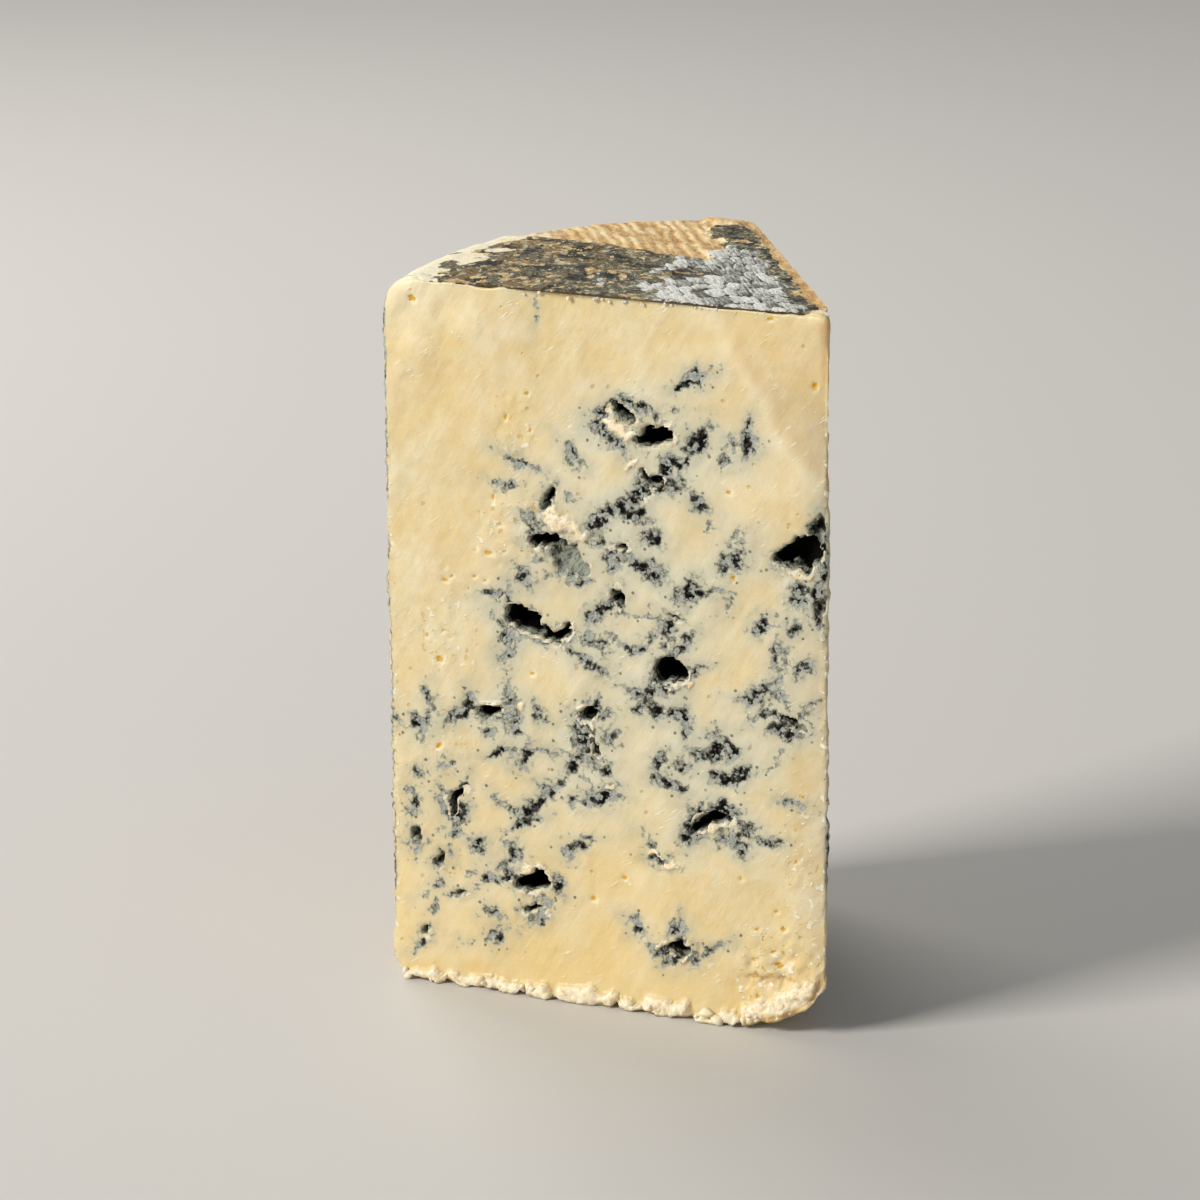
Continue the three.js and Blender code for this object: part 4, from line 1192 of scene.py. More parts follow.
def paste_levels(place, on_cut, from_rim):
    """The wheel's underside and the paste's lower and upper border by columns. On the cuts the lower border
    is the torn foot, and the upper one leaves room for the rind's rippled edge."""
    radius, turn = polar(place)
    foot = base_height(radius, turn)
    ripple = np.clip(0.5 + layered_noise(place[:, 0], place[:, 1], 5.0, 2, 45), 0, 1)
    rind_edge = RIND_TOP * rind_on_edge(radius) * (0.1 + 1.5 * ripple)
    low = foot + np.where(on_cut > 0, foot_gap(from_rim), RIND_BASE)
    high = top_height(radius, turn) - rind_edge - np.where(on_cut > 0, 0, RIM_DROP)
    return foot, low, high


def both_cuts(up, along_first, along_second, first_share, second_share):
    """Height over the plane and masks of both cuts on the rings; only the first cut has the facet."""
    height = np.zeros_like(up)
    fields = {}
    for along, weight, turned in ((along_first, first_share, False), (along_second, second_share, True)):
        columns = weight > 0
        level = up[:, columns]
        across = np.broadcast_to(along[columns], level.shape)
        if turned:
            across = WHEEL_RADIUS - across
            level = 2 * SECOND_CUT_TURN_HEIGHT - level
        cut = cut_fields(across, level)
        height[:, columns] += weight[columns] * cut_relief(across, level, cut, not turned)
        cut["vein"] = cut["vein"] * (1 - 0.8 * cut["pale"])
        for name, values in cut.items():
            fields.setdefault(name, np.zeros_like(up))[:, columns] += weight[columns] * values
    return height, fields


def tear_foot(fields, rim, up, foot, on_cut, share):
    """Height of the clumps at the foot. They are pale and a little torn, but tan at the very foot near the
    tip, and warm low down near the tip, partly as painted shade.
    """
    clumps = foot_nubs(rim, up, foot) * share
    # Warm low down near the tip, partly painted shade under the clumps.
    tip_foot = ramp(WHEEL_RADIUS - 12, WHEEL_RADIUS - 2, rim) * ramp(8.0, 2.0, up - foot) * on_cut
    tan_foot = ramp(2.6, 1.0, up - foot) * ramp(84, 98, rim) * on_cut
    lay(fields, "pale", 1.1 * ramp(0.05, 0.45, clumps))
    lay(fields, "torn", 0.15 * ramp(0, 0.3, clumps))
    lay(fields, "warm", np.maximum(0.7 * tip_foot, 0.9 * tan_foot))
    fields["pale"] *= 1 - 0.9 * tan_foot
    return NUB_PROUD * clumps


def scalloped_rim(fields, rim, up, on_cut):
    """Outward waves of the cut's edge at the rim, one for each rib of the rind; mould in a broken line."""
    waves = 0.7 * layered_noise(up, 0 * up, 5.0, 3, 47) + 0.6 * np.abs(np.sin(math.pi * up / RIB_PITCH)) - 0.4
    line = ramp(1.4, 0.4, rim) * ramp(-0.2, 0.1, layered_noise(up, 0 * up, 14.0, 3, 48)) * on_cut
    lay(fields, "vein", 0.5 * line)
    lay(fields, "stain", 0.5 * line)
    return waves * ramp(0.6 * EDGE_ROUND, 0, rim) * on_cut


def paste_caps(place, out, on_cut):
    """Rings that close the paste below and above, out of sight behind the rind: the plan set back from the
    cuts, then shrunk towards its middle in steps."""
    middle = place.mean(axis=0)
    setback = np.minimum(EDGE_SETBACK, 0.36 * polar(place)[0])
    inner = place - setback[:, None] * out
    radius, turn = polar(inner)
    under_rind = np.maximum(rind_on_edge(radius), 1 - on_cut)
    high = top_height(radius, turn) - 0.1 - (RIND_TOP + 0.4) * under_rind
    below = [np.column_stack([inner, base_height(radius, turn) + RIND_BASE])]
    above = [np.column_stack([inner, high])]
    for share in CAP_SHARES:
        plan = middle + share * (inner - middle)
        below.insert(0, np.column_stack([plan, base_height(*polar(plan)) + RIND_BASE + CAP_SINK]))
        above.append(np.column_stack([plan, high - CAP_SINK]))
    return below, above


def make_paste():
    """The closed paste: rings of the plan's loop from the foot to the top, and the caps."""
    place, out, along_first, along_second, first_share, second_share = paste_loop()
    radius, _ = polar(place)
    on_cut = first_share + second_share
    from_rim = np.where(first_share > 0, along_first, WHEEL_RADIUS - along_second)
    foot, low, high = paste_levels(place, on_cut, from_rim)
    up = low + np.linspace(0, 1, PASTE_RINGS)[:, None] * (high - low)
    rim = np.broadcast_to(from_rim, up.shape)
    height, fields = both_cuts(up, along_first, along_second, first_share, second_share)
    height *= 0.35 + 0.65 * ramp(0, 1.2, up - low) * ramp(0, 0.8, high - up)
    height = np.maximum(height, -THIN_SHARE * radius * math.tan(WEDGE_ANGLE))
    height += tear_foot(fields, rim, up, foot, on_cut, first_share + second_share * ramp(8, 26, radius))
    height -= on_cut * round_off(EDGE_DROP, 1 - rim / EDGE_ROUND)
    height -= on_cut * (1 - rind_on_edge(radius)) * round_off(EDGE_DROP, 1 - (high - up) / EDGE_ROUND)
    scallop = scalloped_rim(fields, rim, up, on_cut) / radius
    rings = np.empty((*up.shape, 3))
    rings[..., :2] = place + height[..., None] * out + scallop[..., None] * place
    rings[..., 2] = up
    below, above = paste_caps(place, out, on_cut)
    rings = np.concatenate([below, rings, above]) + np.array([AXIS_X, FIRST_CUT_Y, 0.0])
    capped = ((len(below), len(above)), (0, 0))
    fields = {name: np.pad(values, capped) for name, values in fields.items()}
    return make_ringed_piece("paste", rings, PASTE, fields)


paste = make_paste()

# %% [markdown]
# ## The rind's colours
# The rind is one tan skin with two kinds of mould on it; the tan has painted light on the crests of its print
# and grey-brown patches of painted shade. Towards the rim the mould is dull: dark olive with amber drifts,
# pale flecks and black smudges. Towards the tip it is silvery: there the print of the mat shows as shingles
# with painted light on their raised ends and painted shadow in the gaps, and each shingle has a tone of its
# own.
# Each of the three is a short function, so that the finish can lay one over the other.

# %% The rind's colours


def tan_skin(tree, crest, grain, streaks):
    """Tan in two blotchy shades, with painted light on the crests of the print and grey-brown patches of
    painted shade.
    """
    blotch = patches_of(tree, 130.0, 4.0, 0.6, 0.40, 0.62)
    low = blend_of(tree, blotch, "b98850", "d6ac6c")
    high = blend_of(tree, blotch, "f0cc8c", "f8e2b4")
    # Painted light on the crests of the print.
    lit = step_of(tree, weighted_of(tree, (crest, 0.7), (grain, 1.0), (streaks, 1.0)), 0.80, 1.50)
    # Grey-brown patches of painted shade.
    shade_patch = patches_of(tree, 420.0, 4.0, 0.65, 0.62, 0.72)
    return tinted_of(tree, blend_of(tree, lit, low, high), shade_patch, 0.5, "77644a")


def dull_mould(tree):
    """Dark olive, finely mottled, with amber drifts, flecks and smudges; greyer where the silver begins."""
    mottle = patches_of(tree, 1500.0, 3.0, 0.6, 0.34, 0.68)
    drift = patches_of(tree, 110.0, 3.0, 0.6, 0.42, 0.60)
    amber = product_of(tree, field_of(tree, "amber"), drift)
    fleck = patches_of(tree, 480.0, 3.0, 0.6, 0.55, 0.61)
    smudge = patches_of(tree, 180.0, 4.0, 0.62, 0.50, 0.41)
    grey = field_of(tree, "silver")
    colour = blend_of(tree, mottle, "2e2c21", "878064")
    marks = ((amber, 0.6, "8d6c36"), (fleck, 0.8, "bcb496"), (smudge, 0.9, "17160f"), (grey, 0.3, "8d8d82"))
    for mask, share, shade in marks:
        colour = tinted_of(tree, colour, mask, share, shade)
    return colour


def silver_mould(tree, crest, grain, streaks):
    """Silvery grey by each shingle's tone and a streaky grain, with painted light on each shingle's raised
    end and painted shadow in the gaps between the shingles and at their low ends.
    """
    tone = field_of(tree, "tone")
    # The crest adds painted light at each shingle's raised end.
    shade = weighted_of(tree, (tone, 0.6), (streaks, 1.6), (grain, 0.9), (crest, 0.5))
    # Painted shadow in the gaps and at each shingle's low end.
    gap_shadow = step_of(tree, weighted_of(tree, (crest, 1.0), (grain, 0.5)), 0.46, 0.22)
    colour = blend_of(tree, step_of(tree, shade, 1.36, 2.25), "62625b", "e8e8e0")
    return blend_of(tree, gap_shadow, colour, "34332d")


print("tan, dull and silvery colours can be painted")

# %% [markdown]
# ## The rind's finish
# The rind is dry and matt. The tan skin lies under it all, bare places show the cream of the paste, and the
# mould covers both. Tan dashes and pale beads break up the mould, and the edge that the wire cut through the
# mouldy rind is nearly black. Only the bare places let light in.

# %% The rind's finish


def make_rind_finish():
    """Tan skin, bare cream, mould and the dark cut edge, each by its ragged mask, over a fibrous relief."""
    material, tree, shader = new_material("rind")
    crest = field_of(tree, "crest")
    grain = noise_of(tree, 700.0, 4.0, 0.65)
    along_cut = streaks_of(tree, (0, 0, math.pi - WEDGE_ANGLE), (4.0, 0.6, 0.6), 3.0)
    across_view = streaks_of(tree, (0, 0, CAMERA_YAW), (4.5, 0.8, 0.8), 3.0)
    silver = ragged_of(tree, "silver", 420.0, 1.5, 0.36, 0.60)
    mould = blend_of(tree, silver, dull_mould(tree), silver_mould(tree, crest, grain, along_cut))
    flesh = blend_of(tree, step_of(tree, grain, 0.3, 0.7), "8f6c3a", "e8cf98")
    bead = patches_of(tree, 760.0, 2.0, 0.5, 0.665, 0.70)
    mould = blend_of(tree, ragged_of(tree, "dash", 600.0, 1.2, 0.42, 0.6), mould, flesh)
    mould = blend_of(tree, bead, mould, "e6dfc8")
    cream = blend_of(tree, 0.85, group_of(tree, CREAM), "fdf0d2")
    cut_edge = blend_of(tree, grain, "1c150a", "6b5130")
    colour = tan_skin(tree, crest, grain, along_cut)
    colour = blend_of(tree, ragged_of(tree, "bare", 420.0, 0.7, 0.35, 0.65), colour, cream)
    colour = blend_of(tree, ragged_of(tree, "mould", 340.0, 1.8, 0.40, 0.58), colour, mould)
    colour = blend_of(tree, ragged_of(tree, "edge", 400.0, 1.6, 0.35, 0.60), colour, cut_edge)
    wire(tree, shader.inputs["Base Color"], colour)
    wire(tree, shader.inputs["Roughness"], 0.70)
    wire(tree, shader.inputs["Specular IOR Level"], 0.4)
    add_scattering(tree, shader, product_of(tree, field_of(tree, "bare"), 0.3), 0.0035)
    fibre = blend_of(tree, silver, across_view, along_cut)
    height = weighted_of(tree, (fibre, 0.7), (noise_of(tree, 1100.0, 4.0, 0.65), 1.0))
    add_bump(tree, shader, height, 0.6, 0.0007)
    return material


RIND = make_rind_finish()
print("finish", RIND.name, len(RIND.node_tree.nodes), "nodes")

# %% [markdown]
# ## The print of the mat
# The wheel dried on a woven mat, and its print runs all over the rind: flat shingles in brick order, like
# roof tiles. One function makes that pattern from two lengths in millimetres, so the top can use plan
# lengths and the side can use height and arc length. Every shingle gets a random number for its tone.

# %% The print of the mat


def woven_print(lengthwise, crosswise, length, pitch, slack, seed):
    """Shingles in brick order: strips of one pitch, each cut into shingles of one length by a random shift.
    The height is a flat oval, a smooth step of 1 - |2u|^3 - |2v|^2.5 over the shingle's own u and v that
    starts at a random slack, and it rises towards one end; the second result is the shingle's number."""
    random = np.random.default_rng(seed)
    table = random.random((TABLE_SIDE, TABLE_SIDE))
    slacks = slack[0] + (slack[1] - slack[0]) * random.random((TABLE_SIDE, TABLE_SIDE))
    strip = np.floor(crosswise / pitch).astype(int)
    across = crosswise / pitch - strip
    place = lengthwise / length + 3 * table[strip % TABLE_SIDE, 0]
    plate = np.floor(place).astype(int)
    within = place - plate
    tone = table[strip % TABLE_SIDE, plate % TABLE_SIDE]
    start = slacks[strip % TABLE_SIDE, plate % TABLE_SIDE]
    oval = 1 - np.abs(2 * within - 1) ** 3 - np.abs(2 * across - 1) ** 2.5
    return ramp(start, start + 0.22, oval) * (0.3 + 0.7 * within), tone


walk = np.arange(90)
sample, _ = woven_print(walk * 0.3, walk * 0.17, 8.0, 3.4, (0, 0.4), 5)
print("print spans", np.round(np.ptp(sample), 2))

# %% [markdown]
# ## Prints on the rind
# Four prints share the rind. On the mouldy part of the top there are shingles near the tip and small rounded
# scales further out. Behind the mould the mat left straight ridges along the second cut, and round the rim
# it left woven ribs. Noise bends all of them, because a soft rind never takes a straight print.

# %% Prints on the rind
SHINGLE_LENGTH = 7.5
SHINGLE_PITCH = 3.2
SHINGLE_SLACK = (-0.35, 0.2)
SCALE_SIZE = 2.5
RIDGE_PITCH = 2.9
RIB_LENGTH = 6.4
RIB_SLACK = (-0.2, 0.4)


def plate_print(x, y, lengthwise, inward, sideways, deep, wander, waver):
    """Shingles and scales on the top, from 0 to 1, and the tone of each."""
    shingle_along = lengthwise + 2 * wander - waver
    shingle_across = inward + wander + 0.65 * waver
    plates, tone = woven_print(shingle_along, shingle_across, SHINGLE_LENGTH, SHINGLE_PITCH, SHINGLE_SLACK, 5)
    scales = rounded_lumps(0.7 * sideways + 0.5 * waver, deep + 0.5 * waver, SCALE_SIZE, 107)
    scales = np.clip(1.5 * scales - 0.45 + 1.2 * layered_noise(0.6 * sideways, deep, 1.6, 3, 108), 0, 1)
    scale_tone = np.clip(0.5 + 1.6 * layered_noise(0.6 * x, y, 3.5, 2, 183), 0, 1)
    shingled = ramp(-70, -54, x + 18 * layered_noise(x, y, 10.0, 2, 181))
    return shingled * plates + (1 - shingled) * scales, shingled * tone + (1 - shingled) * scale_tone


def ridge_print(lengthwise, inward, wander, waver):
    """Straight ridges from 0 to 1: a cosine wave away from the second cut that comes and goes."""
    ridge = 0.5 + 0.5 * np.cos(2 * math.pi * (inward + 0.5 * wander + 0.4 * waver) / RIDGE_PITCH)
    return ridge * np.clip(0.55 + 1.2 * layered_noise(lengthwise, inward * 2, 6.0, 2, 116), 0, 1)


def rib_print(arc, height):
    """Woven ribs round the rim, from 0 to 1, and the tone of each; they come and go too."""
    rib_along = arc + 5 * layered_noise(arc, height, 9.0, 3, 121)
    rib_across = height + 4 * layered_noise(arc, height, 14.0, 3, 122)
    ribs, tone = woven_print(rib_along, rib_across, RIB_LENGTH, RIB_PITCH, RIB_SLACK, 6)
    return ribs * np.clip(0.55 + 1.5 * layered_noise(arc, height, 16.0, 3, 123), 0.1, 1), tone


print("ribs are", RIB_PITCH, "mm apart and ridges", RIDGE_PITCH, "mm")

# %% [markdown]
# ## Masks of the rind
# On top the border between grey mould and tan runs as a crease straight across, then bends back near the
# second cut. The mould also stops short of the rim, of the tip and of the second cut, where a tan strip is
# left. Towards the tip it turns silvery. The rim is bare near the first cut, where the skin was worn off,
# and so are the tip and the foot.

# %% Masks of the rind
CREASE = 40.0
CREASE_STEP = 0.8
BAND_WIDTH = 23.4
BAND_TAPER = 0.165
RIM_MARGIN = 13.0


def mould_masks(x, y, inward, sideways, deep, waver, tone, radius, behind, strip):
    """Where the mould covers the top, where it is silvery, and the tan dashes in it, 0 to 1 each."""
    rim_edge = WHEEL_RADIUS - RIM_MARGIN + 12.0 * layered_noise(0.6 * sideways, deep, 4.0, 3, 141)
    covered = (1 - behind) * ramp(rim_edge + 3.4, rim_edge - 3.4, radius)
    covered *= (1 - strip) * ramp(5.0, 8.5, radius) * (1 - 0.35 * ramp(60, 80, y))
    patch = ramp(0.05, 0.25, layered_noise(x, y, 11.0, 3, 153)) * ramp(-70, -56, x)
    covered = np.maximum(covered, 0.55 * patch * behind * (1 - strip))
    silver = ramp(-61, -38, x + 20 * layered_noise(x, y, 12.0, 3, 171) + 9 * (tone - 0.5))
    silver *= ramp(4.0, 7.5, inward + 1.4 * waver) * ramp(62, 46, y)
    dash = layered_noise(sideways * 0.7, deep, 1.7, 2, 109) + 0.04 * ramp(-55, -88, x)
    return covered, silver, ramp(0.26, 0.34, dash) * (1 - silver)


def bare_mask(radius, y, height, arc, top):
    """Where the rind is bare: the rim's shoulder near the first cut, the tip and the foot."""
    ragged = 9.0 * layered_noise(arc, height, 12.0, 3, 143)
    shoulder = ramp(WHEEL_RADIUS - 22.0, WHEEL_RADIUS - 12.0, radius) * ramp(62, 30, y + ragged)
    shoulder *= ramp(146, 162, height + ragged)
    tip = top * ramp(8.0, 5.0, radius)
    return np.maximum(np.maximum(shoulder, tip), ramp(5.0, 0.5, height + 0.6 * ragged))


def rind_fields(radius, turn, height):
    """Relief in millimetres, the step down behind the crease, and the masks of the rind, from the distance to
    the axis, the turn and the height."""
    x = -radius * np.cos(turn)
    y = radius * np.sin(turn)
    arc = WHEEL_RADIUS * turn
    lengthwise = x * SECOND_CUT[0] + y * SECOND_CUT[1]
    inward = -(x * SECOND_CUT_OUT[0] + y * SECOND_CUT_OUT[1])
    sideways = x * math.cos(CAMERA_YAW) + y * math.sin(CAMERA_YAW)
    deep = y * math.cos(CAMERA_YAW) - x * math.sin(CAMERA_YAW)
    top = ramp(WHEEL_HEIGHT - 6.5, WHEEL_HEIGHT - 2.0, height)
    side = ramp(WHEEL_RADIUS - 1.5, WHEEL_RADIUS - 0.2, radius) * ramp(2.0, 6.0, height)
    wander = 2.2 * layered_noise(x, y, 12.0, 2, 101)
    waver = 2.6 * layered_noise(x, y, 4.0, 4, 106)
    rough = layered_noise(x + height, y - 0.6 * height, 3.0, 3, 131)
    plates, tone = plate_print(x, y, lengthwise, inward, sideways, deep, wander, waver)
    ridge = ridge_print(lengthwise, inward, wander, waver)
    ribs, rib_tone = rib_print(arc, height)
    crease = y - CREASE + 2.4 * layered_noise(x, y, 9.0, 3, 111)
    band = BAND_WIDTH - BAND_TAPER * y + 6.0 * layered_noise(x, y, 8.0, 3, 113)
    behind = ramp(-1.2, 1.2, crease) * ramp(-1.2, 1.2, inward - band)
    strip = ramp(3.4, 1.8, inward + 0.7 * waver)
    printed = plates * (1 - behind) * (1 - strip) + 1.1 * ridge * np.maximum(behind, 0.4 * strip)
    crest = top * printed + (1 - top) * ribs * side
    covered, silver, dash = mould_masks(x, y, inward, sideways, deep, waver, tone, radius, behind, strip)
    side_mould = 0.6 * side * ramp(-0.12, 0.3, layered_noise(arc, height, 26.0, 4, 161))
    bare = bare_mask(radius, y, height, arc, top)
    step = -CREASE_STEP * behind * top * ramp(20, 60, y)
    relief = 0.30 * crest * (1 - 0.6 * bare) + 0.30 * rough * np.maximum(top, 0.5 * side) - 0.15
    masks = {
        "crest": crest + 0.25 * rough, "tone": top * tone + (1 - top) * rib_tone,
        "mould": np.maximum(top * covered, side_mould), "silver": silver, "dash": dash * top, "bare": bare,
        "amber": ramp(-48, -85, x),
    }
    return relief + step, step, masks


print("crease at", CREASE, "mm from the first cut")

# %% [markdown]
# ## The rind
# The rind is a thin shell that follows the wheel's half section: under the base, up the rim, over the top to
# the tip. It starts a little short of the tip below, where the foot is torn off and the paste shows. Each
# ring of the piece is one step along that path: an outer arc from cut to cut, then the inner arc back. The
# arcs stay inside the rounded tip. At both cuts the shell is as thin as the rind's edge looks; further in it
# may be thicker, because nobody sees it. Where no rind shows on a cut's edge, the shell starts a little
# behind the cut, and the paste rounds over to it.

# %% The rind
OUTER_COLUMNS = 210
INNER_COLUMNS = 8
FOOT_STEPS = 22
BASE_STEPS = 24
BASE_ARC_STEPS = 10
TOP_ARC_STEPS = 22
SIDE_STEP = 1.05
TOP_STEP = 0.54
HIDDEN_THICKNESS = 1.8
FOOT_RECESS = 0.9
RIND_FOOT_START = 14.0
SHARP_ANGLE = math.radians(55)


def rind_path():
    """The wheel's half section: distance from the axis, height, and the outward direction in the section."""
    tip = TIP_ROUND / math.sin(WEDGE_ANGLE / 2) - TIP_ROUND
    foot_radius = np.linspace(RIND_FOOT_START, TIP_FOOT_REACH, FOOT_STEPS)
    base_radius = np.linspace(TIP_FOOT_REACH, WHEEL_RADIUS - BASE_SHOULDER, BASE_STEPS)[1:]
    swing = np.linspace(0, math.pi / 2, BASE_ARC_STEPS)[1:]
    base_arc = WHEEL_RADIUS - BASE_SHOULDER + BASE_SHOULDER * np.sin(swing)
    base_arc_up = BASE_SHOULDER - BASE_SHOULDER * np.cos(swing)
    shoulder_foot = WHEEL_HEIGHT - TOP_SHOULDER
    side_up = np.arange(BASE_SHOULDER + SIDE_STEP, shoulder_foot - 0.3, SIDE_STEP)
    top_swing = np.linspace(0, math.pi / 2, TOP_ARC_STEPS)
    top_arc = WHEEL_RADIUS - TOP_SHOULDER + TOP_SHOULDER * np.cos(top_swing)
    top_arc_up = shoulder_foot + TOP_SHOULDER * np.sin(top_swing)
    top_radius = np.arange(WHEEL_RADIUS - TOP_SHOULDER - TOP_STEP, tip, -TOP_STEP)
    side_radius = np.full(side_up.shape, WHEEL_RADIUS)
    radius = np.concatenate([foot_radius, base_radius, base_arc, side_radius, top_arc, top_radius])
    height = np.concatenate([
        base_height(foot_radius, 0.0), np.zeros(base_radius.shape), base_arc_up, side_up, top_arc_up,
        top_height(top_radius, np.zeros(top_radius.shape))])
    ahead_radius = np.gradient(radius)
    ahead_height = np.gradient(height)
    length = np.hypot(ahead_radius, ahead_height)
    return radius, height, ahead_height / length, -ahead_radius / length


def rind_turns(radius, height, columns):
    """Angles from the second cut to the first at each distance from the axis, kept inside the rounded tip and
    a little behind the cuts where the paste covers the rind's edge."""
    centre = TIP_ROUND / math.sin(WEDGE_ANGLE / 2)
    cosine = (radius ** 2 + centre ** 2 - TIP_ROUND ** 2) / (2 * radius * centre)
    in_tip = radius < centre * math.cos(WEDGE_ANGLE / 2)
    half = np.where(in_tip, np.arccos(np.clip(cosine, -1, 1)), WEDGE_ANGLE / 2)
    covered = 1 - rind_on_edge(radius) * (height > WHEEL_HEIGHT / 2)
    half = half - np.minimum(RIND_SETBACK * covered / radius, 0.6 * half)
    return WEDGE_ANGLE / 2 + half[:, None] * np.linspace(1, -1, columns)


def make_rind():
    """The closed shell: a ring at each step of the half section, outer arc first, then the inner arc."""
    radius, height, out_radius, out_up = rind_path()
    outer_turn = rind_turns(radius, height, OUTER_COLUMNS)
    inner_turn = rind_turns(radius, height, INNER_COLUMNS)[:, ::-1]
    turn = np.concatenate([outer_turn, inner_turn], axis=1)
    radius_grid = np.broadcast_to(radius[:, None], turn.shape)
    height_grid = np.broadcast_to(height[:, None], turn.shape)
    upper = ramp(WHEEL_HEIGHT - 2 * TOP_SHOULDER, WHEEL_HEIGHT, height_grid)
    worn = (base_height(radius_grid, turn) - base_height(radius_grid, 0.0)) * (height_grid < WHEEL_HEIGHT / 2)
    swollen = height_grid + crown(radius_grid, turn) * upper + worn
    relief, step, fields = rind_fields(radius_grid, turn, height_grid)
    thick = RIND_SIDE + (RIND_TOP - RIND_SIDE) * upper
    thick = thick + (RIND_BASE - RIND_SIDE) * ramp(BASE_SHOULDER, 0, height_grid)
    inside = np.zeros(turn.shape[1], dtype=bool)
    inside[OUTER_COLUMNS:] = True
    hidden = inside.copy()
    hidden[[OUTER_COLUMNS, -1]] = False
    push = np.where(inside, step - thick - np.where(hidden, HIDDEN_THICKNESS, 0), relief)
    push *= ramp(0, 4.0, radius_grid - radius_grid.min())
    fields["edge"] = inside * ramp(0.3, 0.7, fields["mould"]) * upper
    fields["bare"] = np.maximum(fields["bare"], inside * (1 - upper))
    new_radius = radius_grid + push * out_radius[:, None]
    to_cut = np.minimum(radius_grid * np.sin(turn), radius_grid * np.sin(WEDGE_ANGLE - turn))
    torn = ramp(4.5, 0.5, to_cut) * ramp(1.5, 0.3, height_grid) * ~inside
    torn *= FOOT_RECESS * (1 + 1.6 * layered_noise(radius_grid, turn * 60, 7.0, 2, 191))
    rings = np.stack([
        AXIS_X - new_radius * np.cos(turn),
        FIRST_CUT_Y + new_radius * np.sin(turn),
        np.maximum(swollen + push * out_up[:, None] + torn, 0.0),
    ], axis=-1)
    piece = make_ringed_piece("rind", rings, RIND, fields)
    piece.data.set_sharp_from_angle(angle=SHARP_ANGLE)
    return piece


rind = make_rind()

# %% [markdown]
# ## Where the crumbs lie
# Where the wire met the base, the rind tore into pale crumbs that cling to the clumps at the foot of both
# cuts, and a row of tiny beads hangs under the edge of the top. They are scattered by seeded random draws:
# each crumb picks a clump, then a place near it.

# %% Where the crumbs lie
FOOT_CRUMBS = ((1.2, 0.4, 7), (0.8, 0.2, 12), (0.5, 0.2, 12))
CRUMB_FREE_TIP = 12.0
CRUMB_FREE_RIM = 3.0
BEADS = 44
BEAD_SIZE = 0.36
BEAD_START = 8.0
BEAD_SPAN = 92.0


def foot_crumbs(random, direction, out, turn, size, spread, count):
    """Centres and half sizes of crumbs of one size at the foot of one cut. Half sizes are along the cut, out
    of it and up."""
    nubs = np.array(NUBS)[random.integers(0, len(NUBS), count)]
    along = WHEEL_RADIUS - nubs[:, 0] + 0.9 * nubs[:, 1] * random.normal(size=count)
    along = np.clip(along, CRUMB_FREE_TIP, WHEEL_RADIUS - CRUMB_FREE_RIM)
    half = (size + spread * random.uniform(-1, 1, (count, 1))) * random.uniform(0.7, 1.3, (count, 3))
    proud = NUB_PROUD * random.uniform(0.4, 1.0, count) - 0.8 * half[:, 1]
    plan = along[:, None] * direction + proud[:, None] * out
    up = base_height(along, math.pi - turn) + 0.8 * half[:, 2] + random.uniform(0, 1.2, count) * nubs[:, 2]
    return np.column_stack([plan, up]), half


def top_beads(random, direction, out):
    """Centres and half sizes of the beads under the top's edge on one cut."""
    along = WHEEL_RADIUS - BEAD_START - BEAD_SPAN * random.uniform(0, 1, BEADS) ** 0.7
    half = BEAD_SIZE * random.uniform(0.5, 1.5, (BEADS, 1)) * random.uniform(0.8, 1.2, (BEADS, 3))
    plan = along[:, None] * direction + random.uniform(-0.5, -0.25, BEADS)[:, None] * out
    up = WHEEL_HEIGHT - RIND_TOP - 0.5 + random.uniform(-0.6, 0.3, BEADS)
    return np.column_stack([plan, up]), half


def crumb_places(random):
    """Centres and half sizes of all crumbs on both cuts, in millimetres from the wheel's axis, and each
    crumb's turn about the upright."""
    lots = []
    turns = []
    for direction, out in ((np.array([-1.0, 0.0]), np.array([0.0, -1.0])), (SECOND_CUT, SECOND_CUT_OUT)):
        turn = math.atan2(direction[1], direction[0])
        cut_lots = [foot_crumbs(random, direction, out, turn, *lot) for lot in FOOT_CRUMBS]
        cut_lots.append(top_beads(random, direction, out))
        turns += [turn] * sum(len(centres) for centres, _ in cut_lots)
        lots += cut_lots
    centres, sizes = zip(*lots)
    return np.concatenate(centres), np.concatenate(sizes), np.array(turns)


print(2 * (BEADS + sum(count for _, _, count in FOOT_CRUMBS)), "crumbs and beads")

# %% [markdown]
# ## Crumbs
# Each crumb is a small ball swollen by three waves of random direction, and none looks like another. All of
# them are one mesh, made in one go as an array of crumbs by points of the ball. Their finish is dry curd:
# pale, hardly glossy and a little translucent.

# %% Crumbs
CRUMB_RINGS = 6
CRUMB_COLUMNS = 10
CRUMB_SEED = 11
CRUMB_WAVES = ((2.2, 0.20), (4.0, 0.15), (6.5, 0.10))
CRUMB_FLOOR = 0.02


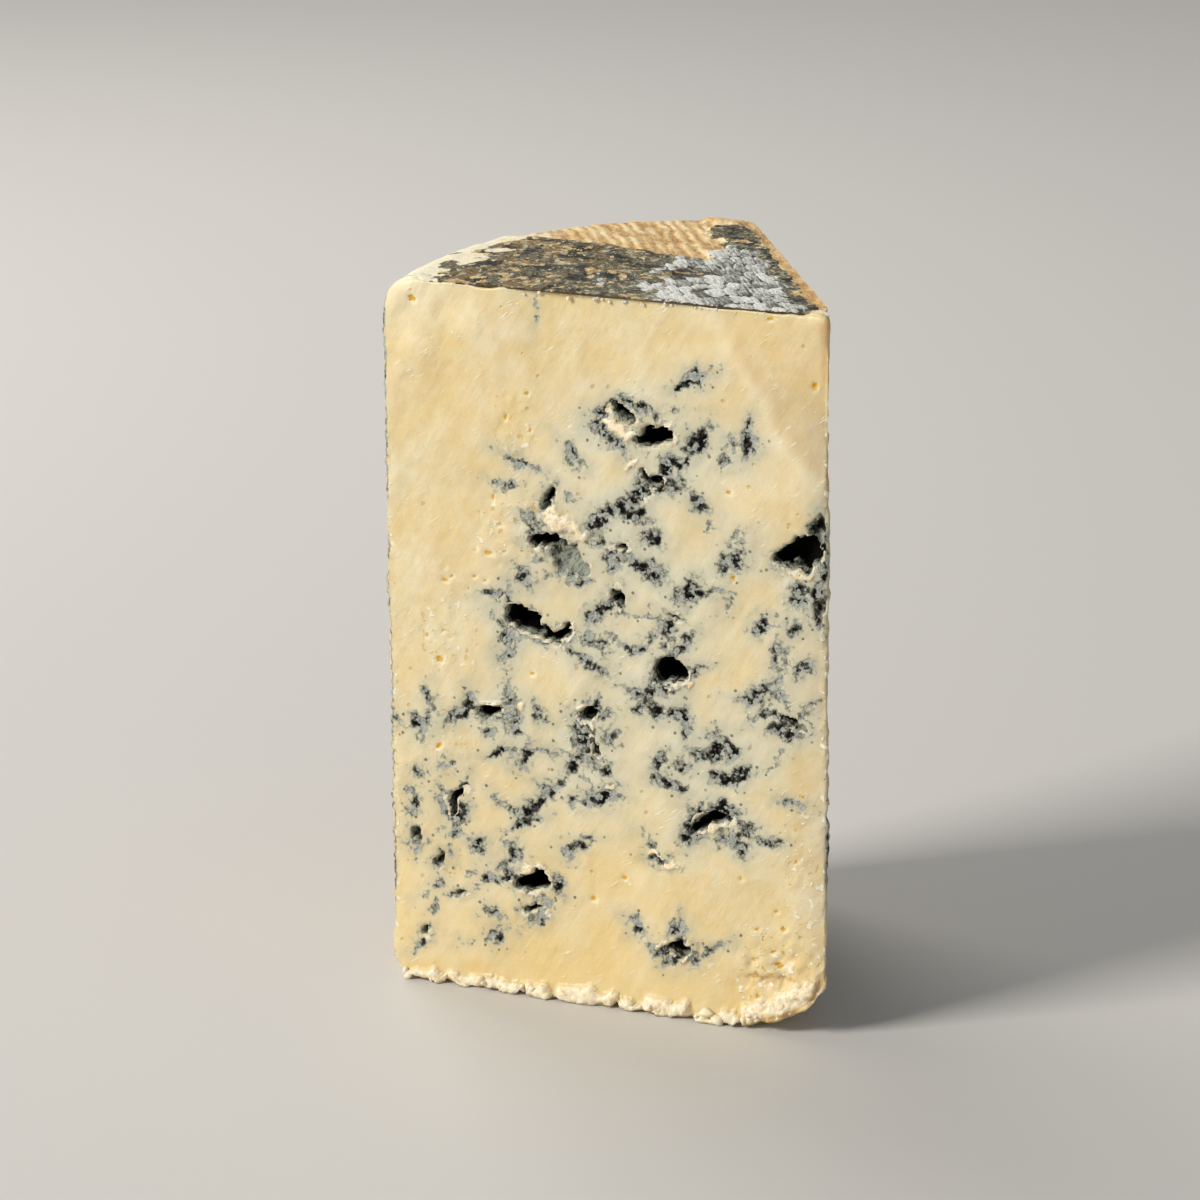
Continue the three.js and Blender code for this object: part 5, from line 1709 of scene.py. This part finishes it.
def make_crumb_finish():
    """Two pale shades, drifting over about 3 mm."""
    material, tree, shader = new_material("crumb")
    tone = patches_of(tree, 300.0, 3.0, 0.6, 0.35, 0.65)
    wire(tree, shader.inputs["Base Color"], blend_of(tree, tone, "eed9b2", "f8ead0"))
    wire(tree, shader.inputs["Roughness"], 0.6)
    add_scattering(tree, shader, 0.4, 0.003)
    return material


def unit_ball():
    """Points of a ball of radius 1: rings from the bottom up, then the two poles."""
    polar_angle = np.linspace(0, math.pi, CRUMB_RINGS + 2)[1:-1, None]
    round_angle = np.linspace(0, 2 * math.pi, CRUMB_COLUMNS, endpoint=False)
    sphere = np.stack([
        np.sin(polar_angle) * np.cos(round_angle),
        np.sin(polar_angle) * np.sin(round_angle),
        -np.cos(polar_angle) + 0 * round_angle,
    ], axis=-1)
    return np.concatenate([sphere.reshape(-1, 3), [[0.0, 0.0, -1.0], [0.0, 0.0, 1.0]]])


def make_crumbs():
    """Every crumb is the ball times 1 + the sum of its waves, a sine each, times its half sizes, then turned
    along its cut and moved to its centre."""
    random = np.random.default_rng(CRUMB_SEED)
    centres, sizes, turns = crumb_places(random)
    count = len(centres)
    ball = unit_ball()
    swelling = np.ones((count, len(ball)))
    for waves, rise in CRUMB_WAVES:
        way = random.normal(size=(count, 3))
        way /= np.linalg.norm(way, axis=1, keepdims=True)
        swelling += rise * np.sin(waves * (way @ ball.T) + random.uniform(0, 2 * math.pi, (count, 1)))
    lump = ball * swelling[..., None] * sizes[:, None, :]
    cosine = np.cos(turns)[:, None]
    sine = np.sin(turns)[:, None]
    turned = np.stack([
        lump[..., 0] * cosine - lump[..., 1] * sine,
        lump[..., 0] * sine + lump[..., 1] * cosine,
        lump[..., 2],
    ], axis=-1)
    points = turned + centres[:, None, :] + np.array([AXIS_X, FIRST_CUT_Y, 0.0])
    points[..., 2] = np.maximum(points[..., 2], CRUMB_FLOOR)
    shift = (np.arange(count) * len(ball))[:, None, None]
    quads = (ring_quads(CRUMB_RINGS, CRUMB_COLUMNS) + shift).reshape(-1, 4)
    fans = (pole_fans(CRUMB_RINGS, CRUMB_COLUMNS) + shift).reshape(-1, 3)
    return make_piece("crumbs", points.reshape(-1, 3), quads, fans, make_crumb_finish(), {})


crumbs = make_crumbs()
